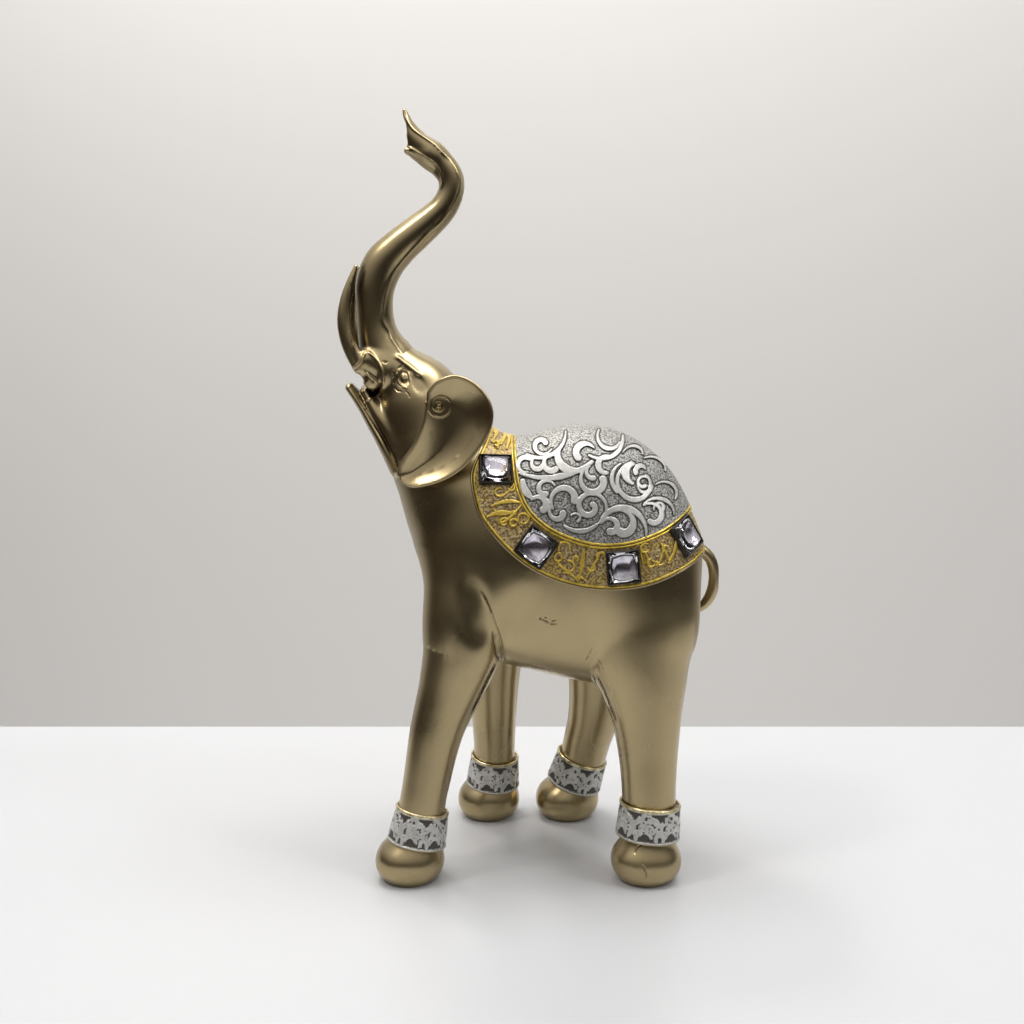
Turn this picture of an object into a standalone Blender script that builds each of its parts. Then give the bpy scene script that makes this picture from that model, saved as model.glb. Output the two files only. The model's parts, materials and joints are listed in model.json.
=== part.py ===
import math

import bmesh
import bpy
import numpy as np
from mathutils import Matrix, Vector

# Driving sizes, in metres

HEIGHT = 0.300
GEM_SIZE = 0.0110
GEM_HEIGHT = 0.0030
GEM_GIRDLE = 0.0010
GEM_TABLE_SHARE = 0.56
GEM_CLEARANCE = 0.0003
SETTING_WALL = 0.0014
SETTING_RISE = 0.0012
CLOTH_THICKNESS = 0.0016
CORD_RADIUS = 0.0009
GRID_STEP = 0.0012

# One unit of the figure's free form is a three-hundredth of its height

UNIT = HEIGHT / 300.0
CLOTH = CLOTH_THICKNESS / UNIT
CORD = CORD_RADIUS / UNIT
REACH = 14.0
PANEL_RISE = 0.4
POCKET_FLOOR = -0.7
NUDGES = (0.0, 0.013, -0.017, 0.031, -0.037, 0.053)
BODY_FACES = 3000
CORD_STEP = 9.0
CORD_FOOT = 2.2

# Side view stations of each limb: along, across, up, half depth in the side view, half width

TRUNK = (
    (-47.5, 0.0, 199.0, 11.0, 11.5),
    (-51.4, 0.0, 208.0, 9.2, 10.0),
    (-53.6, 0.0, 216.6, 7.6, 8.8),
    (-54.2, 0.0, 225.0, 7.3, 8.3),
    (-53.6, 0.0, 233.0, 7.8, 8.0),
    (-50.2, 0.0, 240.9, 7.9, 7.6),
    (-44.4, 0.0, 247.0, 7.2, 7.1),
    (-37.9, 0.0, 252.4, 6.6, 6.7),
    (-32.0, 0.0, 257.2, 6.0, 6.2),
    (-26.8, 0.0, 262.2, 5.4, 5.8),
    (-23.8, 0.0, 268.0, 5.0, 5.4),
    (-23.8, 0.0, 273.6, 5.0, 5.1),
    (-26.8, 0.0, 278.3, 5.2, 5.0),
    (-30.8, 0.0, 281.9, 5.3, 5.0),
)
NECK = (
    (-46.6, 0.0, 203.6, 7.6, 9.0),
    (-38.9, 0.0, 192.2, 15.8, 16.3),
    (-33.4, 0.0, 178.8, 19.8, 19.5),
    (-26.6, 0.0, 162.8, 22.6, 24.0),
    (-13.5, 0.0, 146.4, 32.6, 30.0),
    (8.0, 0.0, 128.0, 40.0, 32.0),
)
THROAT = (
    (-57.8, 0.0, 191.2, 2.6, 6.5),
    (-53.4, 0.0, 184.0, 4.6, 10.5),
    (-48.4, 0.0, 176.4, 5.4, 13.5),
    (-42.8, 0.0, 166.6, 6.8, 15.5),
)
LEGS = {
    "front_left": (
        (-12.0, -15.0, 122.0, 24.5, 18.0),
        (-18.4, -20.0, 104.0, 17.2, 16.5),
        (-20.0, -22.0, 90.0, 15.4, 15.0),
        (-23.8, -23.4, 77.0, 13.1, 13.2),
        (-27.0, -24.6, 68.0, 11.6, 12.0),
        (-29.8, -26.0, 59.0, 10.6, 11.0),
        (-31.8, -27.2, 50.0, 9.9, 10.3),
        (-33.5, -28.4, 41.0, 9.4, 9.8),
        (-35.2, -29.6, 32.0, 9.1, 9.4),
        (-37.4, -30.6, 18.0, 9.4, 9.6),
        (-39.0, -31.0, 9.0, 10.0, 10.0),
    ),
    "front_right": (
        (-8.0, 15.0, 122.0, 26.0, 18.0),
        (-8.6, 20.0, 104.0, 18.5, 16.5),
        (-8.2, 22.0, 90.0, 15.4, 15.0),
        (-8.0, 24.0, 74.0, 12.4, 12.8),
        (-8.0, 26.0, 59.0, 10.7, 11.0),
        (-7.9, 28.0, 42.0, 9.5, 9.8),
        (-7.8, 29.4, 30.0, 9.0, 9.4),
        (-8.2, 30.6, 18.0, 9.4, 9.6),
        (-9.2, 31.0, 9.0, 10.0, 10.0),
    ),
    "rear_left": (
        (47.0, -14.0, 120.0, 27.8, 20.0),
        (50.2, -19.0, 102.0, 24.2, 17.5),
        (50.6, -21.5, 88.0, 20.8, 15.8),
        (52.2, -23.4, 76.0, 16.9, 14.2),
        (53.3, -25.0, 64.0, 13.9, 12.6),
        (54.0, -26.6, 50.0, 11.8, 11.4),
        (54.3, -28.6, 36.0, 10.7, 10.6),
        (54.5, -30.2, 22.0, 10.4, 10.3),
        (54.0, -31.0, 10.0, 10.4, 10.3),
    ),
    "rear_right": (
        (46.0, 14.0, 120.0, 28.5, 20.0),
        (44.6, 19.0, 102.0, 25.0, 17.5),
        (41.4, 21.5, 86.0, 20.0, 15.4),
        (39.4, 23.4, 70.0, 15.6, 13.4),
        (37.6, 25.0, 57.0, 12.8, 12.0),
        (35.8, 26.6, 46.0, 11.3, 11.1),
        (33.4, 28.2, 36.0, 10.4, 10.5),
        (30.8, 29.8, 24.0, 10.0, 10.1),
        (27.0, 31.0, 11.0, 10.2, 10.2),
    ),
}
FEET = {
    "front_left": (-40.7, -31.0, 13.7, 13.2),
    "front_right": (-10.4, 31.0, 13.7, 13.2),
    "rear_left": (53.4, -31.0, 14.0, 13.4),
    "rear_right": (24.6, 31.0, 14.0, 13.4),
}
FOOT_CENTRE = 7.2
FOOT_HALF_HEIGHT = 10.6
BANDS = {
    "front_left": ((-38.0, -30.8, 14.4), (-35.6, -29.4, 27.6), 11.9, 10.5),
    "front_right": ((-8.6, 30.8, 14.4), (-7.6, 29.6, 27.4), 11.9, 10.5),
    "rear_left": ((53.9, -30.8, 17.4), (54.8, -29.9, 30.4), 12.9, 12.0),
    "rear_right": ((27.6, 31.0, 14.6), (31.2, 29.6, 27.2), 12.3, 11.2),
}
TUSK = (
    (-54.0, -8.0, 196.0, 4.2, 3.6),
    (-59.0, -9.0, 202.0, 3.5, 3.1),
    (-62.6, -9.4, 208.4, 3.1, 2.8),
    (-64.6, -9.2, 214.4, 2.8, 2.6),
    (-65.2, -8.8, 220.4, 2.6, 2.4),
    (-64.4, -8.2, 227.0, 2.2, 2.1),
    (-62.6, -7.6, 233.4, 1.6, 1.6),
    (-60.4, -7.0, 239.6, 0.8, 0.8),
)
JAW = (
    (-65.2, 0.0, 192.2, 1.3, 4.0),
    (-60.4, 0.0, 185.4, 1.7, 8.0),
    (-56.0, 0.0, 178.0, 2.0, 11.5),
    (-51.4, 0.0, 170.0, 2.4, 14.0),
    (-46.2, 0.0, 160.0, 3.2, 15.0),
)
TAIL = (
    (72.0, 0.0, 127.0, 3.4, 3.4),
    (77.4, 0.0, 126.2, 2.6, 2.6),
    (81.2, 0.0, 122.2, 2.3, 2.3),
    (82.6, 0.0, 116.0, 2.2, 2.2),
    (82.0, 0.0, 109.6, 2.3, 2.3),
    (79.6, 0.0, 104.6, 2.1, 2.1),
    (76.0, 0.0, 101.6, 1.6, 1.6),
)
EAR_OUTLINE = (
    (-22.2, 198.5), (-17.0, 197.4), (-12.2, 194.1), (-8.8, 189.5), (-7.6, 184.2),
    (-8.9, 178.0), (-12.7, 171.8), (-18.1, 165.4), (-24.4, 160.9), (-31.8, 158.1),
    (-38.2, 157.1), (-42.1, 158.9), (-43.1, 162.1), (-41.0, 166.9), (-37.0, 172.7),
    (-34.1, 179.1), (-32.6, 184.8), (-32.4, 189.2), (-31.1, 192.9), (-27.8, 196.5),
)
EAR_CURL_CENTRE = (-27.3, 187.2)
EAR_CURL_RADII = (4.5, 4.3, 4.1, 3.6, 2.8, 1.9)
EAR_RIM_RADIUS = 0.9
EAR_RIM_STEP = 5.5
EAR_RIM_FOOT = 1.6
EAR_RIM_INSET = 0.4
EAR_TIP = 12
EAR_RIM_SPANS = 14.2
EAR_CURL_START = 180.0
EAR_CURL_TURN = 400.0
EAR_CURL_STATIONS = 11
EYE_PLACE = (-42.2, 196.8)
EYE_TILT = -0.45
FAR_EAR_SHIFT = (-1.5, -4.5)
CLOTH_OUTER = (
    (-4.6, 192.0), (-5.9, 180.8), (-8.2, 176.4), (-12.3, 168.3), (-14.7, 162.9), (-14.9, 158.1),
    (-13.6, 152.0), (-12.0, 146.9), (-8.6, 141.8), (-2.1, 134.6), (6.1, 127.9), (15.5, 123.0),
    (25.0, 120.2), (34.5, 119.2), (44.0, 119.6), (53.7, 121.4), (63.9, 124.9), (70.6, 127.7),
    (75.0, 129.6), (92.0, 132.0),
)
CLOTH_INNER = (
    (0.2, 192.0), (0.3, 180.0), (0.6, 171.7), (0.9, 166.0), (2.0, 157.6), (5.3, 149.5),
    (11.0, 143.5), (19.3, 138.9), (31.0, 135.6), (43.6, 135.9), (56.0, 139.3), (62.8, 142.4),
    (69.0, 145.4), (76.0, 147.4), (92.0, 149.0),
)

# Places of the stones in the side view, and each one's turn away from the border's direction

GEM_PLACES = ((-6.2, 163.0, 0.40), (9.2, 134.8, 0.0), (42.0, 127.5, 0.0), (67.2, 137.4, 0.0))

# Viewpoint from which the scrollwork is laid out: distance, height, downward slope in radians

VIEW_DISTANCE = 494.0
VIEW_HEIGHT = 226.0
VIEW_SLOPE = 0.168

# Scrolls as arcs on the view plane: centre, start and end radius, start and end angle,
# width at the start, the middle and the end

SCROLLS = (
    (24.0, 23.9, 8.6, 5.6, -28, -186, 0.8, 2.5, 1.6),
    (28.9, 23.3, 2.9, 4.5, 215, 30, 2.3, 2.0, 0.6),
    (33.1, 12.4, 6.3, 3.3, 120, 372, 0.7, 2.0, 2.3),
    (37.9, 18.4, 4.2, 2.8, 58, 272, 0.6, 1.9, 1.1),
    (49.8, 11.5, 8.6, 5.0, 103, 400, 0.8, 1.6, 0.7),
    (49.5, 15.6, 3.7, 4.4, 105, 254, 1.1, 2.5, 0.9),
    (56.0, -1.7, 5.6, 2.3, 128, -110, 0.7, 1.7, 1.7),
    (31.1, 2.0, 7.4, 1.5, -62, 400, 0.7, 1.6, 1.7),
    (27.0, 2.4, 9.9, 10.1, -128, -47, 0.8, 1.5, 0.9),
    (42.9, -7.6, 8.1, 9.6, 153, 30, 1.3, 2.0, 0.9),
    (43.9, -5.3, 6.0, 2.9, 98, -100, 0.7, 2.3, 2.7),
    (39.4, -5.9, 3.8, 1.9, 150, -95, 0.7, 1.7, 2.3),
    (21.3, 4.9, 6.1, 3.6, 215, -5, 0.8, 1.7, 2.3),
    (13.4, 9.0, 4.0, 1.9, 25, 275, 0.7, 1.5, 1.7),
    (11.7, 12.8, 7.4, 8.1, 184, 250, 1.6, 2.3, 0.7),
    (10.9, 2.5, 4.0, 2.3, 140, -45, 0.9, 2.0, 2.3),
    (18.7, -0.2, 4.2, 1.7, 142, 345, 0.8, 1.5, 2.0),
    (13.0, 43.5, 29.7, 30.2, -110, -51, 0.8, 1.9, 1.1),
    (5.4, 18.6, 3.3, 2.8, 62, 285, 1.7, 1.3, 0.7),
    (16.2, 19.1, 4.0, 2.4, 108, 300, 0.8, 1.7, 1.9),
    (12.0, 26.7, 4.1, 1.7, -22, -325, 0.6, 1.5, 1.6),
)
SCROLL_HEIGHT = 0.75
SCROLL_STEP = 4.0


def smooth_join(first, second, reach):
    """Join two distance fields with a fillet that is about `reach` wide."""
    share = np.clip(0.5 + 0.5 * (second - first) / reach, 0.0, 1.0)
    return second + (first - second) * share - reach * share * (1.0 - share)


def smooth_cut(first, second, reach):
    """Take the second field out of the first with a rounded edge."""
    return -smooth_join(-first, second, reach)


def resample(stations, count):
    """Catmull-Rom curve through the stations, `count` steps between two of them."""
    rows = np.array(stations, float)
    ends = np.vstack((2.0 * rows[0] - rows[1], rows, 2.0 * rows[-1] - rows[-2]))
    share = np.arange(count)[:, None] / count
    parts = []
    for i in range(len(rows) - 1):
        a, b, c, d = ends[i:i + 4]
        parts.append(0.5 * (2.0 * b + (c - a) * share + (2.0 * a - 5.0 * b + 4.0 * c - d) * share ** 2
                            + (3.0 * b - a - 3.0 * c + d) * share ** 3))
    parts.append(rows[-1:])
    return np.vstack(parts)


def limb(points, stations, count=2, power=2.0):
    """Distance to a limb: elliptical sections that change evenly along a curved spine."""
    rows = resample(stations, count)
    widest = rows[:, 3:].max() + REACH
    close = np.all((points > rows[:, :3].min(axis=0) - widest)
                   & (points < rows[:, :3].max(axis=0) + widest), axis=1)
    near = points[close]
    best = np.full(len(near), 2.0 * REACH)
    for start, end in zip(rows[:-1], rows[1:]):
        axis = end[:3] - start[:3]
        from_start = near - start[:3]
        share = np.clip(from_start @ axis / (axis @ axis), 0.0, 1.0)
        radial = from_start - share[:, None] * axis
        across = np.abs(radial[:, 1])
        depth = np.sqrt(radial[:, 0] ** 2 + radial[:, 2] ** 2)
        half_depth = start[3] + (end[3] - start[3]) * share
        half_width = start[4] + (end[4] - start[4]) * share
        best = np.minimum(best, oval(depth, across, half_depth, half_width, power))
    whole = np.full(len(points), 2.0 * REACH)
    whole[close] = best
    return whole


def oval(first, second, half_first, half_second, power=2.0):
    """Nearly true distance to an oval from its two scaled offsets."""
    a = first / half_first
    b = second / half_second
    level = (a ** power + b ** power) ** (1.0 / power)
    slope = np.sqrt((a / half_first) ** 2 + (b / half_second) ** 2)
    ratio = np.sqrt(a ** 2 + b ** 2)
    return (level - 1.0) * np.maximum(ratio, 1e-6) / np.maximum(slope, 1e-6)


def ball(points, centre, radii, power=2.0):
    """Nearly true distance to an ellipsoid, its flanks flatter as the power goes up."""
    scaled = np.abs(points - np.array(centre)) / np.array(radii)
    side_view = np.hypot(scaled[:, 0], scaled[:, 2])
    level = (side_view ** power + scaled[:, 1] ** power) ** (1.0 / power)
    ratio = np.sqrt((scaled ** 2).sum(axis=1))
    slope = np.sqrt(((scaled / np.array(radii)) ** 2).sum(axis=1))
    return (level - 1.0) * np.maximum(ratio, 1e-6) / np.maximum(slope, 1e-6)


def outline_distance(x, z, corners):
    """Signed distance in the side view to a closed outline, negative inside it."""
    corners = np.array(corners, float)
    best = np.full(x.shape, 1e6)
    inside = np.zeros(x.shape, bool)
    for a, b in zip(corners, np.roll(corners, -1, axis=0)):
        edge = b - a
        share = np.clip(((x - a[0]) * edge[0] + (z - a[1]) * edge[1]) / (edge @ edge), 0.0, 1.0)
        away = (x - a[0] - share * edge[0]) ** 2 + (z - a[1] - share * edge[1]) ** 2
        best = np.minimum(best, away)
        crosses = (a[1] > z) != (b[1] > z)
        rise = b[1] - a[1] if b[1] != a[1] else 1e-9
        inside ^= crosses & (x < a[0] + (z - a[1]) * edge[0] / rise)
    return np.where(inside, -1.0, 1.0) * np.sqrt(best)


class SideMap:
    """Outline distance kept on a fine side view grid and read back between its points."""

    def __init__(self, corners, step=0.5):
        self.step = step
        self.low = np.array((-90.0, -10.0))
        xs = np.arange(self.low[0], 110.0, step)
        zs = np.arange(self.low[1], 320.0, step)
        gx, gz = np.meshgrid(xs, zs, indexing="ij")
        self.table = outline_distance(gx, gz, corners)

    def __call__(self, x, z):
        u = np.clip((x - self.low[0]) / self.step, 0.0, self.table.shape[0] - 1.001)
        v = np.clip((z - self.low[1]) / self.step, 0.0, self.table.shape[1] - 1.001)
        i = u.astype(int)
        j = v.astype(int)
        s = u - i
        t = v - j
        table = self.table
        return ((table[i, j] * (1 - s) + table[i + 1, j] * s) * (1 - t)
                + (table[i, j + 1] * (1 - s) + table[i + 1, j + 1] * s) * t)


def smooth_outline(corners, count=4, closed=True):
    """Rounded outline through the corners."""
    rows = np.array(corners, float)
    if not closed:
        return resample(rows, count)
    padded = np.vstack((rows[-2:], rows, rows[:3]))
    return resample(padded, count)[2 * count:(2 + len(rows)) * count]


def cloth_outline(edge):
    """Close a cloth edge above the back, so that it covers everything over the edge."""
    curve = smooth_outline(edge, 4, False)
    return np.vstack((curve, ((100.0, 210.0), (curve[0][0], 210.0))))


EAR_MAP = SideMap(smooth_outline(EAR_OUTLINE))
OUTER_MAP = SideMap(cloth_outline(CLOTH_OUTER))
INNER_MAP = SideMap(cloth_outline(CLOTH_INNER))


def torso(points):
    """Barrel of the body with the neck and head growing out of it."""
    barrel = ball(points, (27.6, 0.0, 126.4), (45.2, 34.6, 49.4), 2.35)
    belly = limb(points, ((4.0, 0.0, 107.0, 26.5, 31.0), (42.0, 0.0, 100.0, 28.0, 31.0)), 1, 2.6)
    barrel = smooth_join(barrel, belly, 6.0)
    return smooth_join(barrel, limb(points, NECK, 3), 6.0)


def legs(points):
    """Four legs with their feet; the soles reach a little below the floor plane."""
    whole = None
    for name, stations in LEGS.items():
        leg = limb(points, stations, 2)
        x, y, half_long, half_wide = FEET[name]
        foot = ball(points, (x, y, FOOT_CENTRE), (half_long, half_wide, FOOT_HALF_HEIGHT), 2.2)
        leg = smooth_join(leg, foot, 3.0)
        leg = np.minimum(leg, band(points, *BANDS[name]))
        whole = leg if whole is None else np.minimum(whole, leg)
    return whole


def band(points, low, high, low_radius, high_radius):
    """Ankle band: a short cone with rounded edges on the leg's own axis."""
    low = np.array(low)
    axis = np.array(high) - low
    length = math.sqrt(axis @ axis)
    along = (points - low) @ (axis / length)
    radial = points - low - along[:, None] * (axis / length)
    out = np.sqrt((radial ** 2).sum(axis=1))
    share = np.clip(along / length, 0.0, 1.0)
    side = out - (low_radius + (high_radius - low_radius) * share)
    ends = np.abs(along - 0.5 * length) - 0.5 * length
    rounding = 0.6
    return (np.minimum(np.maximum(side, ends) + rounding, 0.0)
            + np.hypot(np.maximum(side + rounding, 0.0), np.maximum(ends + rounding, 0.0)) - rounding)


def ear_sheet(x, z):
    """Distance of the ear's rim plane from the middle plane."""
    return 29.0 + 0.16 * (x + 25.0) - 0.06 * (z - 180.0)


def ear(points, side):
    """Dished ear on a set-back stem that fills the space behind it."""
    x = points[:, 0] - (FAR_EAR_SHIFT[0] if side > 0 else 0.0)
    z = points[:, 2] - (FAR_EAR_SHIFT[1] if side > 0 else 0.0)
    out = points[:, 1] * side
    flat = EAR_MAP(x, z)
    depth = np.clip(-flat / 12.0, 0.0, 1.0)
    face = ear_sheet(x, z) - 5.0 * depth * (2.0 - depth)
    sheet = np.maximum(flat, np.abs(out - face + 1.1) - 1.1)
    stem = np.maximum(np.maximum(flat + 5.0, out - face + 1.0), 4.0 - out)
    return smooth_join(sheet, stem, 1.5)


def head_parts(points):
    """Trunk with its open tip, jaw, tusks and mouth hollows."""
    x, y, z = points.T
    trunk = limb(points, TRUNK, 3)
    tip = limb(points, ((-30.6, 0.0, 281.6, 5.2, 5.0), (-34.8, 0.0, 284.8, 5.3, 5.2),
                        (-37.6, 0.0, 288.9, 3.9, 4.6), (-39.8, 0.0, 293.8, 2.0, 2.8),
                        (-41.3, 0.0, 298.6, 0.8, 1.0)), 2)
    lip = limb(points, ((-33.0, 0.0, 282.0, 3.2, 4.8), (-40.4, 0.0, 283.6, 1.3, 4.2)), 1)
    trunk = smooth_join(smooth_join(trunk, tip, 2.0), lip, 1.5)
    scoop = ball(points, (-45.6, 0.0, 290.8), (5.2, 30.0, 7.0))
    bore = limb(points, ((-43.0, 0.0, 289.0, 3.2, 2.9), (-36.6, 0.0, 285.8, 2.2, 2.0)), 1)
    trunk = smooth_cut(trunk, np.minimum(scoop, bore), 0.8)
    jaw = limb(points, JAW, 3)
    mirrored = points.copy()
    mirrored[:, 1] = -np.abs(mirrored[:, 1])
    tusks = limb(mirrored, TUSK, 2)
    sheath = limb(mirrored, ((-49.0, -7.0, 200.0, 7.0, 6.0), (-56.6, -8.4, 203.4, 4.6, 4.4)), 1)
    return trunk, jaw, tusks, sheath, mirrored


def figure(points, body):
    """Distance to the bare figure, without the cloth, grown from its torso and legs."""
    trunk, jaw, tusks, sheath, mirrored = head_parts(points)
    body = smooth_join(body, trunk, 4.5)
    body = smooth_join(body, limb(points, THROAT, 2), 3.0)
    body = smooth_join(body, jaw, 0.8)
    body = smooth_join(body, sheath, 2.0)
    hollow = ball(mirrored, (-59.0, -9.5, 196.4), (4.4, 5.0, 3.6))
    body = smooth_cut(body, hollow, 1.5)
    body = smooth_join(body, tusks, 0.8)
    for side in (-1.0, 1.0):
        body = smooth_join(body, ear(points, side), 2.5)
    return smooth_join(body, limb(points, TAIL, 3), 1.2)


def hide(points):
    """Distance to the torso and legs, on which the cloth lies."""
    return smooth_join(torso(points), legs(points), 7.0)


def casting(points):
    """Distance to the figure with its cloth laid over the back."""
    x, y, z = points.T
    skin = hide(points)
    bare = figure(points, skin)
    border = np.maximum(OUTER_MAP(x, z), np.maximum(skin - CLOTH, -skin - 3.0))
    panel = np.maximum(INNER_MAP(x, z), np.maximum(skin - CLOTH - PANEL_RISE, -skin - 3.0))
    return np.minimum(np.minimum(bare, border), panel)


def slope_of(shape, places, reach=0.05):
    """Direction in which a distance grows, as unit vectors."""
    level = shape(places)
    slope = np.empty_like(places)
    for i in range(3):
        shifted = places.copy()
        shifted[:, i] += reach
        slope[:, i] = shape(shifted) - level
    return slope / np.maximum(np.linalg.norm(slope, axis=1), 1e-9)[:, None]


def meet(shape, start, end, steps=40):
    """First points where the lines from start to end enter the shape, and which lines do."""
    span = end - start
    before = np.zeros(len(start))
    after = np.ones(len(start))
    found = np.zeros(len(start), bool)
    for i in range(steps + 1):
        share = i / steps
        inside = shape(start + share * span) < 0.0
        newly = inside & ~found
        after[newly] = share
        before[newly] = share - 1.0 / steps
        found |= inside
    for _ in range(18):
        middle = 0.5 * (before + after)
        inside = shape(start + middle[:, None] * span) < 0.0
        after = np.where(inside, middle, after)
        before = np.where(inside, before, middle)
    return start + after[:, None] * span, found


def on_flank(x, z, rise):
    """Points on the left flank at the given places of the side view."""
    start = np.stack((x, np.full(len(x), -60.0), z), axis=1)
    end = np.stack((x, np.zeros(len(x)), z), axis=1)
    return meet(lambda points: hide(points) - rise, start, end)


def from_view(across, up, rise):
    """Points of the flank seen at the given places of the view plane."""
    cos = math.cos(VIEW_SLOPE)
    sin = math.sin(VIEW_SLOPE)
    eye = np.array((0.0, -VIEW_DISTANCE, VIEW_HEIGHT))
    ray = np.stack((across, VIEW_DISTANCE * cos + up * sin, up * cos - VIEW_DISTANCE * sin), axis=1)
    return meet(lambda points: hide(points) - rise, eye + 0.88 * ray, eye + 1.02 * ray)


def cloth_edge(edge, rise, spacing):
    """Closed loop of evenly spaced points where a cloth edge lies on the body."""
    curve = smooth_outline(edge, 24, False)
    places, found = on_flank(curve[:, 0], curve[:, 1], rise)
    half = places[found]
    half[0, 1] = 0.0
    half[-1, 1] = 0.0
    steps = np.linalg.norm(np.diff(half, axis=0), axis=1)
    run = np.concatenate(((0.0,), np.cumsum(steps)))
    count = int(round(run[-1] / spacing))
    marks = np.linspace(0.0, run[-1], count + 1)
    half = np.stack([np.interp(marks, run, half[:, i]) for i in range(3)], axis=1)
    other = half[-2:0:-1] * np.array((1.0, -1.0, 1.0))
    return np.vstack((half, other))


def sweep(path, normals, section, closed):
    """Points and quads of a section carried along a path; section rows are side and lift."""
    ahead = np.roll(path, -1, axis=0)
    behind = np.roll(path, 1, axis=0)
    if not closed:
        ahead[-1] = path[-1]
        behind[0] = path[0]
    along = ahead - behind
    along /= np.linalg.norm(along, axis=1)[:, None]
    sides = np.cross(normals, along)
    sides /= np.linalg.norm(sides, axis=1)[:, None]
    lifts = np.cross(along, sides)
    count = section.shape[1]
    places = path[:, None] + sides[:, None] * section[:, :, :1] + lifts[:, None] * section[:, :, 1:]
    faces = []
    total = len(path)
    for i in range(total if closed else total - 1):
        a = i * count
        b = (i + 1) % total * count
        for j in range(count):
            k = (j + 1) % count
            faces.append((a + j, b + j, b + k, a + k))
    if not closed:
        faces.append(tuple(range(count)))
        faces.append(tuple(reversed(range((total - 1) * count, total * count))))
    return places.reshape(-1, 3), faces


def footed_section(count, radius, foot):
    """Section of a cord or rim: a low ridge over a foot that is sunk in the casting."""
    ring = np.array(((-0.6 * radius, -foot), (0.6 * radius, -foot),
                     (radius, 0.0), (0.0, radius), (-radius, 0.0)))
    return np.repeat(ring[None], count, axis=0)


def round_section(count, radius, corners):
    """Round section of the same radius at every station."""
    turn = 2.0 * math.pi * np.arange(corners) / corners
    ring = np.stack((radius * np.cos(turn), radius * np.sin(turn)), axis=1)
    return np.repeat(ring[None], count, axis=0)


def join_solid(target, name, places, faces, operation="UNION"):
    """Join or cut a closed solid with the target, moved by microns where the touch is too exact to solve."""
    for nudge in NUDGES:
        tool = new_object(name, np.asarray(places) + nudge, faces)
        make_outward(tool)
        boolean = target.modifiers.new(name, "BOOLEAN")
        boolean.operation = operation
        boolean.solver = "EXACT"
        boolean.object = tool
        graph = bpy.context.evaluated_depsgraph_get()
        mesh = bpy.data.meshes.new_from_object(target.evaluated_get(graph))
        target.modifiers.clear()
        bpy.data.objects.remove(tool)
        if volume_of(mesh) > 0.9 * volume_of(target.data):
            old = target.data
            target.data = mesh
            bpy.data.meshes.remove(old)
            return
        bpy.data.meshes.remove(mesh)
    raise RuntimeError(f"{name} can't be joined")


def volume_of(mesh):
    """Volume that a closed mesh holds."""
    form = bmesh.new()
    form.from_mesh(mesh)
    volume = form.calc_volume(signed=True)
    form.free()
    return volume


def make_outward(thing):
    """Turn the faces outward."""
    form = bmesh.new()
    form.from_mesh(thing.data)
    bmesh.ops.recalc_face_normals(form, faces=form.faces)
    form.to_mesh(thing.data)
    form.free()


def both_sides(places):
    """The left side's points and the same points on the right."""
    return places, places * np.array((1.0, -1.0, 1.0))


def scroll_path(row):
    """Centre line and widths of one scroll on the view plane."""
    x, z, first, last, begin, end = row[:6]
    length = abs(math.radians(end - begin)) * 0.5 * (first + last)
    count = max(4, int(round(length / SCROLL_STEP)) + 1)
    share = np.linspace(0.0, 1.0, count)
    angle = np.radians(begin + (end - begin) * share)
    radius = first + (last - first) * share
    width = np.interp(share, (0.0, 0.55, 1.0), row[6:])
    return x + radius * np.cos(angle), z + radius * np.sin(angle), width


def add_scrolls(target):
    """Raise the main scrolls of the cloth as flat-topped ribbons."""
    for row in SCROLLS:
        across, up, width = scroll_path(row)
        path, found = from_view(across, up, CLOTH + PANEL_RISE)
        if not found.all():
            continue
        normals = slope_of(hide, path)
        half = 0.5 * width
        section = np.stack((np.stack((-half, np.full(len(half), -0.6)), axis=1),
                            np.stack((half, np.full(len(half), -0.6)), axis=1),
                            np.stack((0.7 * half, np.full(len(half), SCROLL_HEIGHT)), axis=1),
                            np.stack((-0.7 * half, np.full(len(half), SCROLL_HEIGHT)), axis=1)), axis=1)
        places, faces = sweep(path, normals, section, False)
        for side in both_sides(places):
            join_solid(target, "scroll", side, faces)


def gem_frames():
    """Origin and three axes of each stone on the left: along the border, across it and outward."""
    x = np.array([place[0] for place in GEM_PLACES])
    z = np.array([place[1] for place in GEM_PLACES])
    centres, found = on_flank(x, z, CLOTH)
    outward = slope_of(hide, centres)
    step = 0.5
    away = np.stack((OUTER_MAP(x + step, z) - OUTER_MAP(x - step, z), np.zeros(len(x)),
                     OUTER_MAP(x, z + step) - OUTER_MAP(x, z - step)), axis=1)
    across = away - (away * outward).sum(axis=1)[:, None] * outward
    across /= np.linalg.norm(across, axis=1)[:, None]
    along = np.cross(across, outward)
    turn = np.array([place[2] for place in GEM_PLACES])[:, None]
    turned = np.cos(turn) * along + np.sin(turn) * across
    across = np.cos(turn) * across - np.sin(turn) * along
    return [np.stack(frame) for frame in zip(centres, turned, across, outward)]


def stack_of_squares(frame, rows):
    """Closed solid through squares of the given half size and height over a frame's origin."""
    centre, along, across, outward = frame
    places = []
    for half, height in rows:
        for i, j in ((-1, -1), (1, -1), (1, 1), (-1, 1)):
            places.append(centre + half * i * along + half * j * across + height * outward)
    faces = [(3, 2, 1, 0)]
    for i in range(len(rows) - 1):
        a = 4 * i
        for j in range(4):
            k = (j + 1) % 4
            faces.append((a + j, a + k, a + k + 4, a + j + 4))
    top = 4 * (len(rows) - 1)
    faces.append((top, top + 1, top + 2, top + 3))
    return np.array(places), faces


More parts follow.
